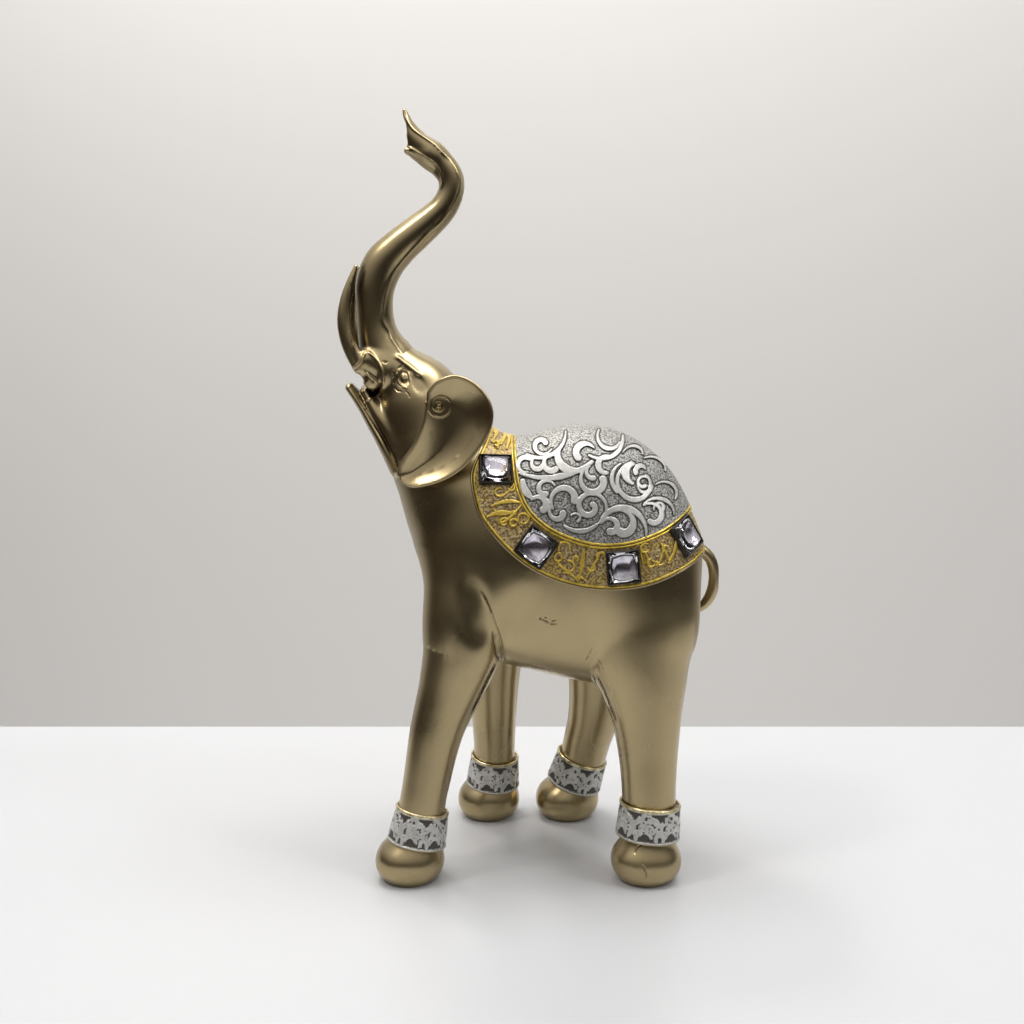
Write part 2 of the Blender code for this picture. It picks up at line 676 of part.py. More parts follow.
def add_settings(target):
    """Raise a square frame for each stone and sink its pocket."""
    half_gem = 0.5 * GEM_SIZE / UNIT
    half_pocket = half_gem + GEM_CLEARANCE / UNIT
    half_frame = half_pocket + SETTING_WALL / UNIT
    rise = SETTING_RISE / UNIT
    for frame in gem_frames():
        block, block_faces = stack_of_squares(frame, ((half_frame, -3.0), (half_frame, rise)))
        cut_rows = ((half_pocket, POCKET_FLOOR), (half_pocket, rise + 4.0))
        pocket, pocket_faces = stack_of_squares(frame, cut_rows)
        for side in both_sides(block):
            join_solid(target, "setting", side, block_faces)
        for side in both_sides(pocket):
            join_solid(target, "pocket", side, pocket_faces, "DIFFERENCE")


def add_gems():
    """Square stones with a step of sloping facets up to a flat table."""
    half = 0.5 * GEM_SIZE / UNIT
    floor = POCKET_FLOOR + GEM_CLEARANCE / UNIT
    rows = ((half, floor), (half, floor + GEM_GIRDLE / UNIT),
            (half * (0.5 + 0.5 * GEM_TABLE_SHARE), floor + 0.72 * GEM_HEIGHT / UNIT),
            (half * GEM_TABLE_SHARE, floor + GEM_HEIGHT / UNIT))
    gems = []
    for number, frame in enumerate(gem_frames(), 1):
        places, faces = stack_of_squares(frame, rows)
        for side, spot in zip(("left", "right"), both_sides(places)):
            gem = new_object(f"gem_{side}_{number}", spot, faces)
            make_outward(gem)
            gems.append(gem)
    return gems


def ear_rim(side):
    """Rim of one ear from its lower front tip round the back and into the curl, on the dish's edge."""
    rim = np.roll(smooth_outline(EAR_OUTLINE, 6), -6 * EAR_TIP, axis=0)[::-1]
    rim = rim[:int(6 * EAR_RIM_SPANS)]
    outward = np.stack((EAR_MAP(rim[:, 0] + 0.5, rim[:, 1]) - EAR_MAP(rim[:, 0] - 0.5, rim[:, 1]),
                        EAR_MAP(rim[:, 0], rim[:, 1] + 0.5) - EAR_MAP(rim[:, 0], rim[:, 1] - 0.5)), axis=1)
    rim = rim - EAR_RIM_INSET * outward / np.linalg.norm(outward, axis=1)[:, None]
    run = np.concatenate(((0.0,), np.cumsum(np.linalg.norm(np.diff(rim, axis=0), axis=1))))
    marks = np.linspace(0.0, run[-1], int(round(run[-1] / EAR_RIM_STEP)) + 1)
    share = np.linspace(0.0, 1.0, EAR_CURL_STATIONS)
    angle = np.radians(EAR_CURL_START + EAR_CURL_TURN * share)
    radius = np.interp(share, np.linspace(0.0, 1.0, len(EAR_CURL_RADII)), EAR_CURL_RADII)
    x = np.concatenate((np.interp(marks, run, rim[:, 0]), EAR_CURL_CENTRE[0] + radius * np.cos(angle)))
    z = np.concatenate((np.interp(marks, run, rim[:, 1]), EAR_CURL_CENTRE[1] + radius * np.sin(angle)))
    depth = np.clip(-EAR_MAP(x, z) / 12.0, 0.0, 1.0)
    out = ear_sheet(x, z) - 5.0 * depth * (2.0 - depth) - 0.3
    if side > 0:
        x = x + FAR_EAR_SHIFT[0]
        z = z + FAR_EAR_SHIFT[1]
    return np.stack((x, side * out, z), axis=1)


def add_ear_rims(target):
    """Roll the rim of each ear and curl its upper front corner."""
    for side in (-1.0, 1.0):
        path = ear_rim(side)
        normals = np.repeat(np.array(((0.0, side, 0.0),)), len(path), axis=0)
        section = footed_section(len(path), EAR_RIM_RADIUS, EAR_RIM_FOOT)
        places, faces = sweep(path, normals, section, False)
        join_solid(target, "rim", places, faces)


def add_eyes(target):
    """Almond eyes: a ball under a raised lid ring."""
    x, z = EYE_PLACE
    start = np.array(((x, -40.0, z),))
    end = np.array(((x, 0.0, z),))
    centre, found = meet(casting, start, end)
    outward = slope_of(casting, centre)[0]
    up = np.array((math.sin(EYE_TILT), 0.0, math.cos(EYE_TILT)))
    along = up - (up @ outward) * outward
    along /= np.linalg.norm(along)
    across = np.cross(outward, along)
    turn = np.linspace(0.0, 2.0 * math.pi, 11)[:-1]
    lid = (centre[0] + 3.6 * np.cos(turn)[:, None] * along + 2.2 * np.sin(turn)[:, None] * across
           + 0.2 * outward)
    places, faces = sweep(lid, np.repeat(outward[None], 10, axis=0), round_section(10, 0.6, 4), True)
    for spot in both_sides(places):
        join_solid(target, "lid", spot, faces)
    rings = []
    for rise, size in ((-1.2, 1.0), (0.5, 0.8), (1.1, 0.4)):
        for a in turn[::2]:
            rings.append(centre[0] + size * (2.7 * math.cos(a) * along + 1.7 * math.sin(a) * across)
                         + rise * outward)
    faces = [tuple(range(5)), tuple(range(10, 15))]
    for i in (0, 5):
        for j in range(5):
            k = (j + 1) % 5
            faces.append((i + j, i + k, i + k + 5, i + j + 5))
    for spot in both_sides(np.array(rings)):
        join_solid(target, "eye", spot, faces)


def net(shape, low, high, step):
    """Mesh of the surface where the shape's distance is nought, one point for each cell it crosses."""
    low = np.array(low, float)
    counts = np.ceil((np.array(high) - low) / step).astype(int) + 1
    axes = [low[i] + step * np.arange(counts[i]) for i in range(3)]
    rough = [axis[::4] for axis in axes]
    grid = np.stack(np.meshgrid(*rough, indexing="ij"), axis=-1)
    coarse = shape(grid.reshape(-1, 3)).reshape(grid.shape[:3])
    for i in range(3):
        coarse = stretch(coarse, counts[i], i)
    values = coarse
    near = np.abs(values) < 9.0 * step
    index = np.argwhere(near)
    places = low + index * step
    found = np.empty(len(places))
    for start in range(0, len(places), 400000):
        found[start:start + 400000] = shape(places[start:start + 400000])
    values[near] = found
    return cells_to_mesh(values, low, step)


def stretch(table, count, axis):
    """Linear upsampling by four along one axis."""
    position = np.minimum(np.arange(count) / 4.0, table.shape[axis] - 1.0)
    lower = np.minimum(position.astype(int), table.shape[axis] - 2)
    share = position - lower
    form = [1, 1, 1]
    form[axis] = count
    share = share.reshape(form)
    return np.take(table, lower, axis) * (1.0 - share) + np.take(table, lower + 1, axis) * share


def cells_to_mesh(values, low, step):
    """Points at the mean of each cell's edge crossings, a quad around each crossed grid edge."""
    inside = values < 0.0
    corners = np.array([(i, j, k) for i in (0, 1) for j in (0, 1) for k in (0, 1)])
    nx, ny, nz = values.shape
    filled = np.zeros((nx - 1, ny - 1, nz - 1), np.int8)
    for i, j, k in corners:
        filled += inside[i:nx - 1 + i, j:ny - 1 + j, k:nz - 1 + k]
    active = (filled > 0) & (filled < 8)
    cells = np.argwhere(active)
    number = np.full(active.shape, -1)
    number[active] = np.arange(len(cells))
    total = np.zeros((len(cells), 3))
    hits = np.zeros(len(cells))
    for a in range(8):
        for b in range(a + 1, 8):
            if np.abs(corners[a] - corners[b]).sum() != 1:
                continue
            value_a = values[tuple((cells + corners[a]).T)]
            value_b = values[tuple((cells + corners[b]).T)]
            crossed = (value_a < 0.0) != (value_b < 0.0)
            share = np.where(crossed, value_a / np.where(crossed, value_a - value_b, 1.0), 0.0)
            place = corners[a] + share[:, None] * (corners[b] - corners[a])
            total += place * crossed[:, None]
            hits += crossed
    places = low + (cells + total / hits[:, None]) * step
    quads = []
    for axis in range(3):
        u = np.eye(3, dtype=int)[(axis + 1) % 3]
        v = np.eye(3, dtype=int)[(axis + 2) % 3]
        first = np.take(inside, np.arange(inside.shape[axis] - 1), axis)
        second = np.take(inside, np.arange(1, inside.shape[axis]), axis)
        edges = np.argwhere(first != second)
        limit = np.array(active.shape)
        keep = np.all((edges - u - v >= 0) & (edges < limit), axis=1)
        edges = edges[keep]
        leaving = first[tuple(edges.T)]
        ring = np.stack([number[tuple((edges - u - v).T)], number[tuple((edges - v).T)],
                         number[tuple(edges.T)], number[tuple((edges - u).T)]], axis=1)
        quads.append(np.where(leaving[:, None], ring, ring[:, ::-1]))
    return places, np.vstack(quads)


def settle(places, shape, rounds=2):
    """Move each point along the slope of the distance until it lies on the surface."""
    reach = 0.05
    for _ in range(rounds):
        level = shape(places)
        slope = np.empty_like(places)
        for i in range(3):
            shifted = places.copy()
            shifted[:, i] += reach
            slope[:, i] = (shape(shifted) - level) / reach
        size = np.maximum((slope ** 2).sum(axis=1), 0.2)
        move = -level[:, None] * slope / size[:, None]
        length = np.sqrt((move ** 2).sum(axis=1))
        move *= np.minimum(1.0, 0.4 / np.maximum(length, 1e-9))[:, None]
        places = places + move
    return places


def new_object(name, places, faces):
    """Mesh object from points in units of the figure and a list of faces."""
    mesh = bpy.data.meshes.new(name)
    mesh.from_pydata([tuple(place) for place in np.asarray(places) * UNIT], [],
                     [tuple(int(i) for i in face) for face in faces])
    mesh.validate()
    thing = bpy.data.objects.new(name, mesh)
    bpy.context.scene.collection.objects.link(thing)
    return thing


def apply_modifiers(thing):
    """Replace the object's mesh by its evaluated one."""
    graph = bpy.context.evaluated_depsgraph_get()
    mesh = bpy.data.meshes.new_from_object(thing.evaluated_get(graph))
    old = thing.data
    thing.modifiers.clear()
    thing.data = mesh
    bpy.data.meshes.remove(old)


def fewer_faces(thing, wanted):
    """Collapse the least needed edges until about the wanted number of triangles is left."""
    now = sum(len(face.vertices) - 2 for face in thing.data.polygons)
    decimate = thing.modifiers.new("Fewer faces", "DECIMATE")
    decimate.ratio = min(1.0, wanted / now)
    apply_modifiers(thing)


def keep_largest(thing):
    """Drop slivers that an exact Boolean has split from the one casting."""
    form = bmesh.new()
    form.from_mesh(thing.data)
    form.verts.ensure_lookup_table()
    unseen = set(form.verts)
    pieces = []
    while unseen:
        front = [unseen.pop()]
        piece = list(front)
        while front:
            here = front.pop()
            near = {edge.other_vert(here) for edge in here.link_edges}
            fresh = [vertex for vertex in near if vertex in unseen]
            unseen.difference_update(fresh)
            front.extend(fresh)
            piece.extend(fresh)
        pieces.append(piece)
    largest = max(pieces, key=len)
    for piece in pieces:
        if piece is not largest:
            bmesh.ops.delete(form, geom=piece, context="VERTS")
    form.to_mesh(thing.data)
    form.free()


def raise_tip(thing):
    """Bring the point of the trunk to the figure's full height."""
    tip = max(thing.data.vertices, key=lambda vertex: vertex.co.z)
    tip.co.z = HEIGHT
    thing.data.update()


def cut_soles(target):
    """Cut the soles flat on the floor plane."""
    corners = ((-150.0, -90.0), (150.0, -90.0), (150.0, 90.0), (-150.0, 90.0))
    ground = [(x, y, z) for z in (-20.0, 0.0) for x, y in corners]
    faces = [(3, 2, 1, 0), (4, 5, 6, 7), (0, 1, 5, 4), (1, 2, 6, 5), (2, 3, 7, 6), (3, 0, 4, 7)]
    join_solid(target, "floor", ground, faces, "DIFFERENCE")


def plain_material(name, colour, metallic, roughness):
    """Principled material in one colour."""
    material = bpy.data.materials.new(name)
    material.use_nodes = True
    shader = material.node_tree.nodes["Principled BSDF"]
    shader.inputs["Base Color"].default_value = (*colour, 1.0)
    shader.inputs["Metallic"].default_value = metallic
    shader.inputs["Roughness"].default_value = roughness
    return material


def finish(elephant, gems):
    """Materials, soft shading, and the origin at the middle of the object's footprint."""
    bronze = plain_material("bronze_paint", (0.22, 0.17, 0.095), 0.8, 0.38)
    crystal = plain_material("clear_stone", (0.80, 0.79, 0.84), 0.0, 0.08)
    everything = [elephant, *gems]
    corners = np.array([vertex.co for thing in everything for vertex in thing.data.vertices])
    middle = 0.5 * (corners.min(axis=0) + corners.max(axis=0))
    shift = Matrix.Translation(Vector((-middle[0], -middle[1], 0.0)))
    for thing in everything:
        thing.data.transform(shift)
        thing.data.materials.clear()
        thing.data.materials.append(bronze if thing is elephant else crystal)
    elephant.data.shade_smooth()
    elephant.data.set_sharp_from_angle(angle=math.radians(38.0))


def main():
    for thing in list(bpy.data.objects):
        bpy.data.objects.remove(thing)
    places, quads = net(casting, (-75.0, -50.0, -5.0), (92.0, 50.0, 304.0), GRID_STEP / UNIT)
    elephant = new_object("elephant", places, quads)
    remesh = elephant.modifiers.new("Even grid", "REMESH")
    remesh.mode = "VOXEL"
    remesh.voxel_size = GRID_STEP
    apply_modifiers(elephant)
    mesh = elephant.data
    places = np.empty(3 * len(mesh.vertices), np.float32)
    mesh.vertices.foreach_get("co", places)
    places = settle(places.reshape(-1, 3).astype(float) / UNIT, casting)
    mesh.vertices.foreach_set("co", (places * UNIT).ravel().astype(np.float32))
    mesh.update()
    fewer_faces(elephant, BODY_FACES)
    raise_tip(elephant)
    for edge, rise in ((CLOTH_OUTER, CLOTH), (CLOTH_INNER, CLOTH + PANEL_RISE)):
        path = cloth_edge(edge, rise, CORD_STEP)
        places, faces = sweep(path, slope_of(hide, path), footed_section(len(path), CORD, CORD_FOOT), True)
        join_solid(elephant, "cord", places, faces)
    add_scrolls(elephant)
    add_ear_rims(elephant)
    add_eyes(elephant)
    add_settings(elephant)
    cut_soles(elephant)
    keep_largest(elephant)
    gems = add_gems()
    finish(elephant, gems)


main()
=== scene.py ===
"""Elephant statue: bronze-finished casting with a silver and gold saddle cloth and set stones."""

import json
import math

import bmesh
import bpy
import mathutils
import numpy as np
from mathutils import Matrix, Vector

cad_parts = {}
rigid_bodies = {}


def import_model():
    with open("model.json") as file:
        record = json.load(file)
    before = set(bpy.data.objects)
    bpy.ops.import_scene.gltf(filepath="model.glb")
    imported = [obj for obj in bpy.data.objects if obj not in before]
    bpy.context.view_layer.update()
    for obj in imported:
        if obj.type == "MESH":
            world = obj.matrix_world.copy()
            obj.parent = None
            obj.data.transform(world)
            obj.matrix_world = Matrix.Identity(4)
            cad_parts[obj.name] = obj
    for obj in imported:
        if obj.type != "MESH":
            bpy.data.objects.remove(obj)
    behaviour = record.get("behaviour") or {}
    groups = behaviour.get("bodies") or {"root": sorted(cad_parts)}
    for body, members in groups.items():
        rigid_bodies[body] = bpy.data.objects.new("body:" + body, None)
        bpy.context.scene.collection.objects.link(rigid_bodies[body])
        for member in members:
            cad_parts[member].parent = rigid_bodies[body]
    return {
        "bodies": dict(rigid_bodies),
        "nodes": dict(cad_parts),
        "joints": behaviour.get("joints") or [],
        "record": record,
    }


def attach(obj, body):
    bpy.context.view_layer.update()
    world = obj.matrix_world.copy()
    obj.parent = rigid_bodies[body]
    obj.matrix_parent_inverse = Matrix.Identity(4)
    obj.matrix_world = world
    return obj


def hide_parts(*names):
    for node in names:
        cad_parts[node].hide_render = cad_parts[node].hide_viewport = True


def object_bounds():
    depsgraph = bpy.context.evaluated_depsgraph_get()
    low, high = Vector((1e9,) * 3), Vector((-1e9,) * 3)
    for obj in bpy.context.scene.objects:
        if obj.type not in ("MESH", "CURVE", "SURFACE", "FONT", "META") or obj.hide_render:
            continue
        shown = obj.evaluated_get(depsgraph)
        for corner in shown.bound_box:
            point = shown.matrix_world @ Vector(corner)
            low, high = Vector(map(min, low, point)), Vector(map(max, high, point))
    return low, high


bl_info = {
    "name": "Elephant statue",
    "version": (1, 0, 0),
    "blender": (4, 5, 0),
    "location": "3D View > Sidebar > Statue",
    "description": "Builds the surfaces, finishes and setting of a cast elephant statue",
    "category": "Object",
}

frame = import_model()
CAD_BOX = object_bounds()

# One unit of the figure is a three-hundredth of its height; the figure's own middle lies aside

UNIT = float(CAD_BOX[1][2] - CAD_BOX[0][2]) / 300.0
MIDDLE = np.array((8.198, 0.0, 0.0))
REACH = 14.0

# Side view stations of each limb: along, across, up, half depth in the side view, half width

TRUNK = (
    (-47.5, 0.0, 199.0, 11.0, 11.5),
    (-51.4, 0.0, 208.0, 9.2, 10.0),
    (-53.6, 0.0, 216.6, 7.6, 8.8),
    (-54.2, 0.0, 225.0, 7.3, 8.3),
    (-53.6, 0.0, 233.0, 7.8, 8.0),
    (-50.2, 0.0, 240.9, 7.9, 7.6),
    (-44.4, 0.0, 247.0, 7.2, 7.1),
    (-37.9, 0.0, 252.4, 6.6, 6.7),
    (-32.0, 0.0, 257.2, 6.0, 6.2),
    (-26.8, 0.0, 262.2, 5.4, 5.8),
    (-23.8, 0.0, 268.0, 5.0, 5.4),
    (-23.8, 0.0, 273.6, 5.0, 5.1),
    (-26.8, 0.0, 278.3, 5.2, 5.0),
    (-30.8, 0.0, 281.9, 5.3, 5.0),
)
NECK = (
    (-46.6, 0.0, 203.6, 7.6, 9.0),
    (-38.9, 0.0, 192.2, 15.8, 16.3),
    (-33.4, 0.0, 178.8, 19.8, 19.5),
    (-26.6, 0.0, 162.8, 22.6, 24.0),
    (-13.5, 0.0, 146.4, 32.6, 30.0),
    (8.0, 0.0, 128.0, 40.0, 32.0),
)
THROAT = (
    (-57.8, 0.0, 191.2, 2.6, 6.5),
    (-53.4, 0.0, 184.0, 4.6, 10.5),
    (-48.4, 0.0, 176.4, 5.4, 13.5),
    (-42.8, 0.0, 166.6, 6.8, 15.5),
)
LEGS = {
    "front_left": (
        (-12.0, -15.0, 122.0, 24.5, 18.0),
        (-18.4, -20.0, 104.0, 17.2, 16.5),
        (-20.0, -22.0, 90.0, 15.4, 15.0),
        (-23.8, -23.4, 77.0, 13.1, 13.2),
        (-27.0, -24.6, 68.0, 11.6, 12.0),
        (-29.8, -26.0, 59.0, 10.6, 11.0),
        (-31.8, -27.2, 50.0, 9.9, 10.3),
        (-33.5, -28.4, 41.0, 9.4, 9.8),
        (-35.2, -29.6, 32.0, 9.1, 9.4),
        (-37.4, -30.6, 18.0, 9.4, 9.6),
        (-39.0, -31.0, 9.0, 10.0, 10.0),
    ),
    "front_right": (
        (-8.0, 15.0, 122.0, 26.0, 18.0),
        (-8.6, 20.0, 104.0, 18.5, 16.5),
        (-8.2, 22.0, 90.0, 15.4, 15.0),
        (-8.0, 24.0, 74.0, 12.4, 12.8),
        (-8.0, 26.0, 59.0, 10.7, 11.0),
        (-7.9, 28.0, 42.0, 9.5, 9.8),
        (-7.8, 29.4, 30.0, 9.0, 9.4),
        (-8.2, 30.6, 18.0, 9.4, 9.6),
        (-9.2, 31.0, 9.0, 10.0, 10.0),
    ),
    "rear_left": (
        (47.0, -14.0, 120.0, 27.8, 20.0),
        (50.2, -19.0, 102.0, 24.2, 17.5),
        (50.6, -21.5, 88.0, 20.8, 15.8),
        (52.2, -23.4, 76.0, 16.9, 14.2),
        (53.3, -25.0, 64.0, 13.9, 12.6),
        (54.0, -26.6, 50.0, 11.8, 11.4),
        (54.3, -28.6, 36.0, 10.7, 10.6),
        (54.5, -30.2, 22.0, 10.4, 10.3),
        (54.0, -31.0, 10.0, 10.4, 10.3),
    ),
    "rear_right": (
        (46.0, 14.0, 120.0, 28.5, 20.0),
        (44.6, 19.0, 102.0, 25.0, 17.5),
        (41.4, 21.5, 86.0, 20.0, 15.4),
        (39.4, 23.4, 70.0, 15.6, 13.4),
        (37.6, 25.0, 57.0, 12.8, 12.0),
        (35.8, 26.6, 46.0, 11.3, 11.1),
        (33.4, 28.2, 36.0, 10.4, 10.5),
        (30.8, 29.8, 24.0, 10.0, 10.1),
        (27.0, 31.0, 11.0, 10.2, 10.2),
    ),
}
FEET = {
    "front_left": (-40.7, -31.0, 13.7, 13.2),
    "front_right": (-10.4, 31.0, 13.7, 13.2),
    "rear_left": (53.4, -31.0, 14.0, 13.4),
    "rear_right": (24.6, 31.0, 14.0, 13.4),
}
FOOT_CENTRE = 7.2
FOOT_HALF_HEIGHT = 10.6
BANDS = {
    "front_left": ((-38.0, -30.8, 14.4), (-35.6, -29.4, 27.6), 11.9, 10.5),
    "front_right": ((-8.6, 30.8, 14.4), (-7.6, 29.6, 27.4), 11.9, 10.5),
    "rear_left": ((53.9, -30.8, 17.4), (54.8, -29.9, 30.4), 12.9, 12.0),
    "rear_right": ((27.6, 31.0, 14.6), (31.2, 29.6, 27.2), 12.3, 11.2),
}
TUSK = (
    (-54.0, -8.0, 196.0, 4.2, 3.6),
    (-59.0, -9.0, 202.0, 3.5, 3.1),
    (-62.6, -9.4, 208.4, 3.1, 2.8),
    (-64.6, -9.2, 214.4, 2.8, 2.6),
    (-65.2, -8.8, 220.4, 2.6, 2.4),
    (-64.4, -8.2, 227.0, 2.2, 2.1),
    (-62.6, -7.6, 233.4, 1.6, 1.6),
    (-60.4, -7.0, 239.6, 0.8, 0.8),
)
JAW = (
    (-64.5, 0.0, 192.6, 1.9, 4.4),
    (-59.4, 0.0, 186.0, 2.6, 8.6),
    (-54.9, 0.0, 178.6, 3.0, 12.2),
    (-50.3, 0.0, 170.6, 3.4, 14.4),
    (-45.2, 0.0, 160.6, 4.0, 15.2),
)
TAIL = (
    (72.0, 0.0, 127.0, 3.4, 3.4),
    (77.4, 0.0, 126.2, 2.6, 2.6),
    (81.2, 0.0, 122.2, 2.3, 2.3),
    (82.6, 0.0, 116.0, 2.2, 2.2),
    (82.0, 0.0, 109.6, 2.3, 2.3),
    (79.6, 0.0, 104.6, 2.1, 2.1),
    (76.0, 0.0, 101.6, 1.6, 1.6),
)
EAR_OUTLINE = (
    (-22.2, 198.5), (-17.0, 197.4), (-12.2, 194.1), (-8.8, 189.5), (-7.6, 184.2),
    (-8.9, 178.0), (-12.7, 171.8), (-18.1, 165.4), (-24.4, 160.9), (-31.8, 158.1),
    (-38.2, 157.1), (-42.1, 158.9), (-43.1, 162.1), (-41.0, 166.9), (-37.0, 172.7),
    (-34.1, 179.1), (-32.6, 184.8), (-32.4, 189.2), (-31.1, 192.9), (-27.8, 196.5),
)
EAR_CURL_CENTRE = (-27.3, 187.2)
EAR_CURL_RADII = (4.5, 4.3, 4.1, 3.3, 2.3, 1.6)
EAR_TIP = 12
EAR_RIM_SPANS = 14.2
EAR_CURL_START = 180.0
EAR_CURL_TURN = 520.0
FAR_EAR_SHIFT = (-1.5, -4.5)
CLOTH_OUTER = (
    (-4.6, 192.0), (-5.9, 180.8), (-8.2, 176.4), (-12.3, 168.3), (-14.7, 162.9), (-14.9, 158.1),
    (-13.6, 152.0), (-12.0, 146.9), (-8.6, 141.8), (-2.1, 134.6), (6.1, 127.9), (15.5, 123.0),
    (25.0, 120.2), (34.5, 119.2), (44.0, 119.6), (53.7, 121.4), (63.9, 124.9), (70.6, 127.7),
    (75.0, 129.6), (92.0, 132.0),
)
CLOTH_INNER = (
    (0.2, 192.0), (0.3, 180.0), (0.6, 171.7), (0.9, 166.0), (2.0, 157.6), (5.3, 149.5),
    (11.0, 143.5), (19.3, 138.9), (31.0, 135.6), (43.6, 135.9), (56.0, 139.3), (62.8, 142.4),
    (69.0, 145.4), (76.0, 147.4), (92.0, 149.0),
)

# Places of the stones in the side view, and each one's turn away from the border's direction

GEM_PLACES = ((-6.2, 163.0, 0.40), (9.2, 134.8, 0.0), (42.0, 127.5, 0.0), (67.2, 137.4, 0.0))

# Viewpoint from which the scrollwork is laid out: distance, height, downward slope in radians

VIEW_DISTANCE = 494.0
VIEW_HEIGHT = 226.0
VIEW_SLOPE = 0.168

# Scrolls as arcs on the view plane: centre, start and end radius, start and end angle,
# width at the start, the middle and the end

SCROLLS = (
    (24.0, 23.9, 8.6, 5.6, -28, -186, 1.0, 3.6, 2.2),
    (28.9, 23.3, 2.9, 4.5, 215, 30, 2.9, 2.8, 0.7),
    (36.9, 30.5, 9.9, 7.4, -127, 0, 1.1, 2.0, 0.9),
    (39.6, 29.9, 5.6, 4.1, 150, 330, 0.8, 1.9, 0.9),
    (33.1, 12.4, 6.3, 3.3, 120, 372, 0.8, 2.8, 3.0),
    (32.4, 15.6, 3.0, 2.1, 115, 275, 0.8, 1.7, 2.2),
    (37.9, 18.4, 4.2, 2.8, 58, 272, 0.7, 2.7, 1.5),
    (49.8, 11.5, 8.6, 5.0, 103, 400, 1.0, 2.3, 0.9),
    (46.8, 13.6, 6.6, 7.2, 120, 228, 0.7, 1.7, 1.8),
    (49.5, 15.6, 3.7, 4.4, 105, 254, 1.4, 3.6, 1.2),
    (51.8, 16.6, 2.5, 1.5, 200, 30, 2.2, 2.0, 1.1),
    (53.5, 10.3, 3.3, 2.0, 170, 350, 0.8, 1.7, 2.2),
    (56.0, -1.7, 5.6, 2.3, 128, -110, 0.8, 2.4, 2.3),
    (58.8, -1.7, 7.8, 6.0, 140, 5, 0.8, 1.7, 0.5),
    (31.1, 2.0, 7.4, 1.5, -62, 400, 0.8, 2.3, 2.3),
    (27.0, 2.4, 9.9, 10.1, -128, -47, 1.0, 2.0, 1.2),
    (42.9, -7.6, 8.1, 11.0, 153, -14, 1.7, 2.8, 0.7),
    (43.9, -5.3, 6.0, 2.9, 98, -100, 0.8, 3.2, 3.7),
    (39.4, -5.9, 3.8, 1.9, 150, -95, 0.8, 2.4, 3.0),
    (21.3, 4.9, 6.1, 3.6, 215, -5, 1.0, 2.4, 3.0),
    (13.4, 9.0, 4.0, 1.9, 25, 275, 0.8, 2.0, 2.3),
    (11.7, 12.8, 7.4, 8.1, 184, 250, 2.1, 3.2, 0.9),
    (10.9, 2.5, 4.0, 2.3, 140, -45, 1.1, 2.8, 3.0),
    (18.7, -0.2, 4.2, 1.7, 142, 345, 1.0, 2.0, 2.7),
    (25.6, -2.6, 2.3, 1.3, 150, -60, 0.7, 1.0, 1.2),
    (13.0, 43.5, 29.7, 30.2, -110, -51, 1.0, 2.7, 1.5),
    (5.4, 18.6, 3.3, 2.8, 62, 285, 2.2, 1.9, 0.9),
    (10.4, 19.3, 2.9, 2.0, 110, 330, 0.8, 2.0, 2.2),
    (16.2, 19.1, 4.0, 2.4, 108, 300, 1.0, 2.4, 2.6),
    (11.0, 32.2, 10.6, 10.5, -118, 0, 1.4, 1.9, 0.7),
    (12.0, 26.7, 4.1, 1.7, -22, -325, 0.7, 2.0, 2.2),
    (49.5, 22.0, 5.5, 3.0, 160, 20, 0.6, 1.4, 0.6),
    (56.5, 15.5, 7.0, 5.0, 120, 10, 0.6, 1.3, 0.6),
    (61.5, 6.5, 6.0, 4.0, 130, -20, 0.6, 1.4, 0.6),
    (52.5, 11.8, 2.6, 1.6, 30, 300, 0.9, 1.3, 1.6),
    (59.0, 1.6, 2.4, 1.5, 200, -60, 0.8, 1.2, 1.5),
    (8.0, 31.6, 8.0, 9.0, 60, 115, 0.6, 1.0, 0.5),
)

# Gold wires and leaves of the border on the view plane: arcs as above, and strokes through three points

WIRES = (
    (-5.2, 8.0, 1.7, 1.5, 60, 330, 0.7, 0.8, 0.5),
    (-0.4, 9.8, 1.6, 1.2, 110, -170, 0.7, 0.8, 0.5),
    (4.7, -2.7, 2.3, 1.9, 200, -120, 0.7, 0.9, 0.6),
    (0.6, -4.4, 1.7, 1.1, 20, 330, 0.7, 0.9, 0.7),
    (-3.2, -3.9, 1.6, 1.1, 60, 330, 0.7, 0.9, 0.6),
    (21.0, -14.2, 2.4, 2.3, 200, -20, 0.8, 0.9, 0.6),
    (18.7, -18.2, 1.9, 1.1, 60, 400, 0.7, 0.9, 0.7),
    (22.8, -21.8, 2.4, 1.5, 100, -200, 0.7, 0.9, 0.6),
    (25.6, -18.8, 1.3, 0.9, 200, -80, 0.7, 0.8, 0.6),
    (35.6, -17.9, 2.1, 1.5, -40, 220, 0.7, 0.9, 0.6),
    (31.9, -22.2, 1.6, 1.1, 180, 420, 0.7, 0.8, 0.6),
    (53.3, -14.5, 2.0, 1.5, 60, 330, 0.7, 0.9, 0.6),
    (55.8, -20.5, 1.7, 1.1, 100, 430, 0.7, 0.9, 0.6),
    (65.1, -7.7, 1.3, 1.2, 0, 330, 0.7, 0.7, 0.5),
    (59.4, -19.8, 1.5, 1.3, 180, 340, 0.7, 0.8, 0.5),
    (61.4, -14.9, 1.5, 0.9, 40, 300, 0.7, 0.8, 0.6),
    (-6.0, 32.7, 1.3, 0.9, 60, 330, 0.8, 1.1, 0.7),
    (-6.2, 27.4, 1.2, 0.8, 160, -140, 0.8, 1.1, 0.7),
)
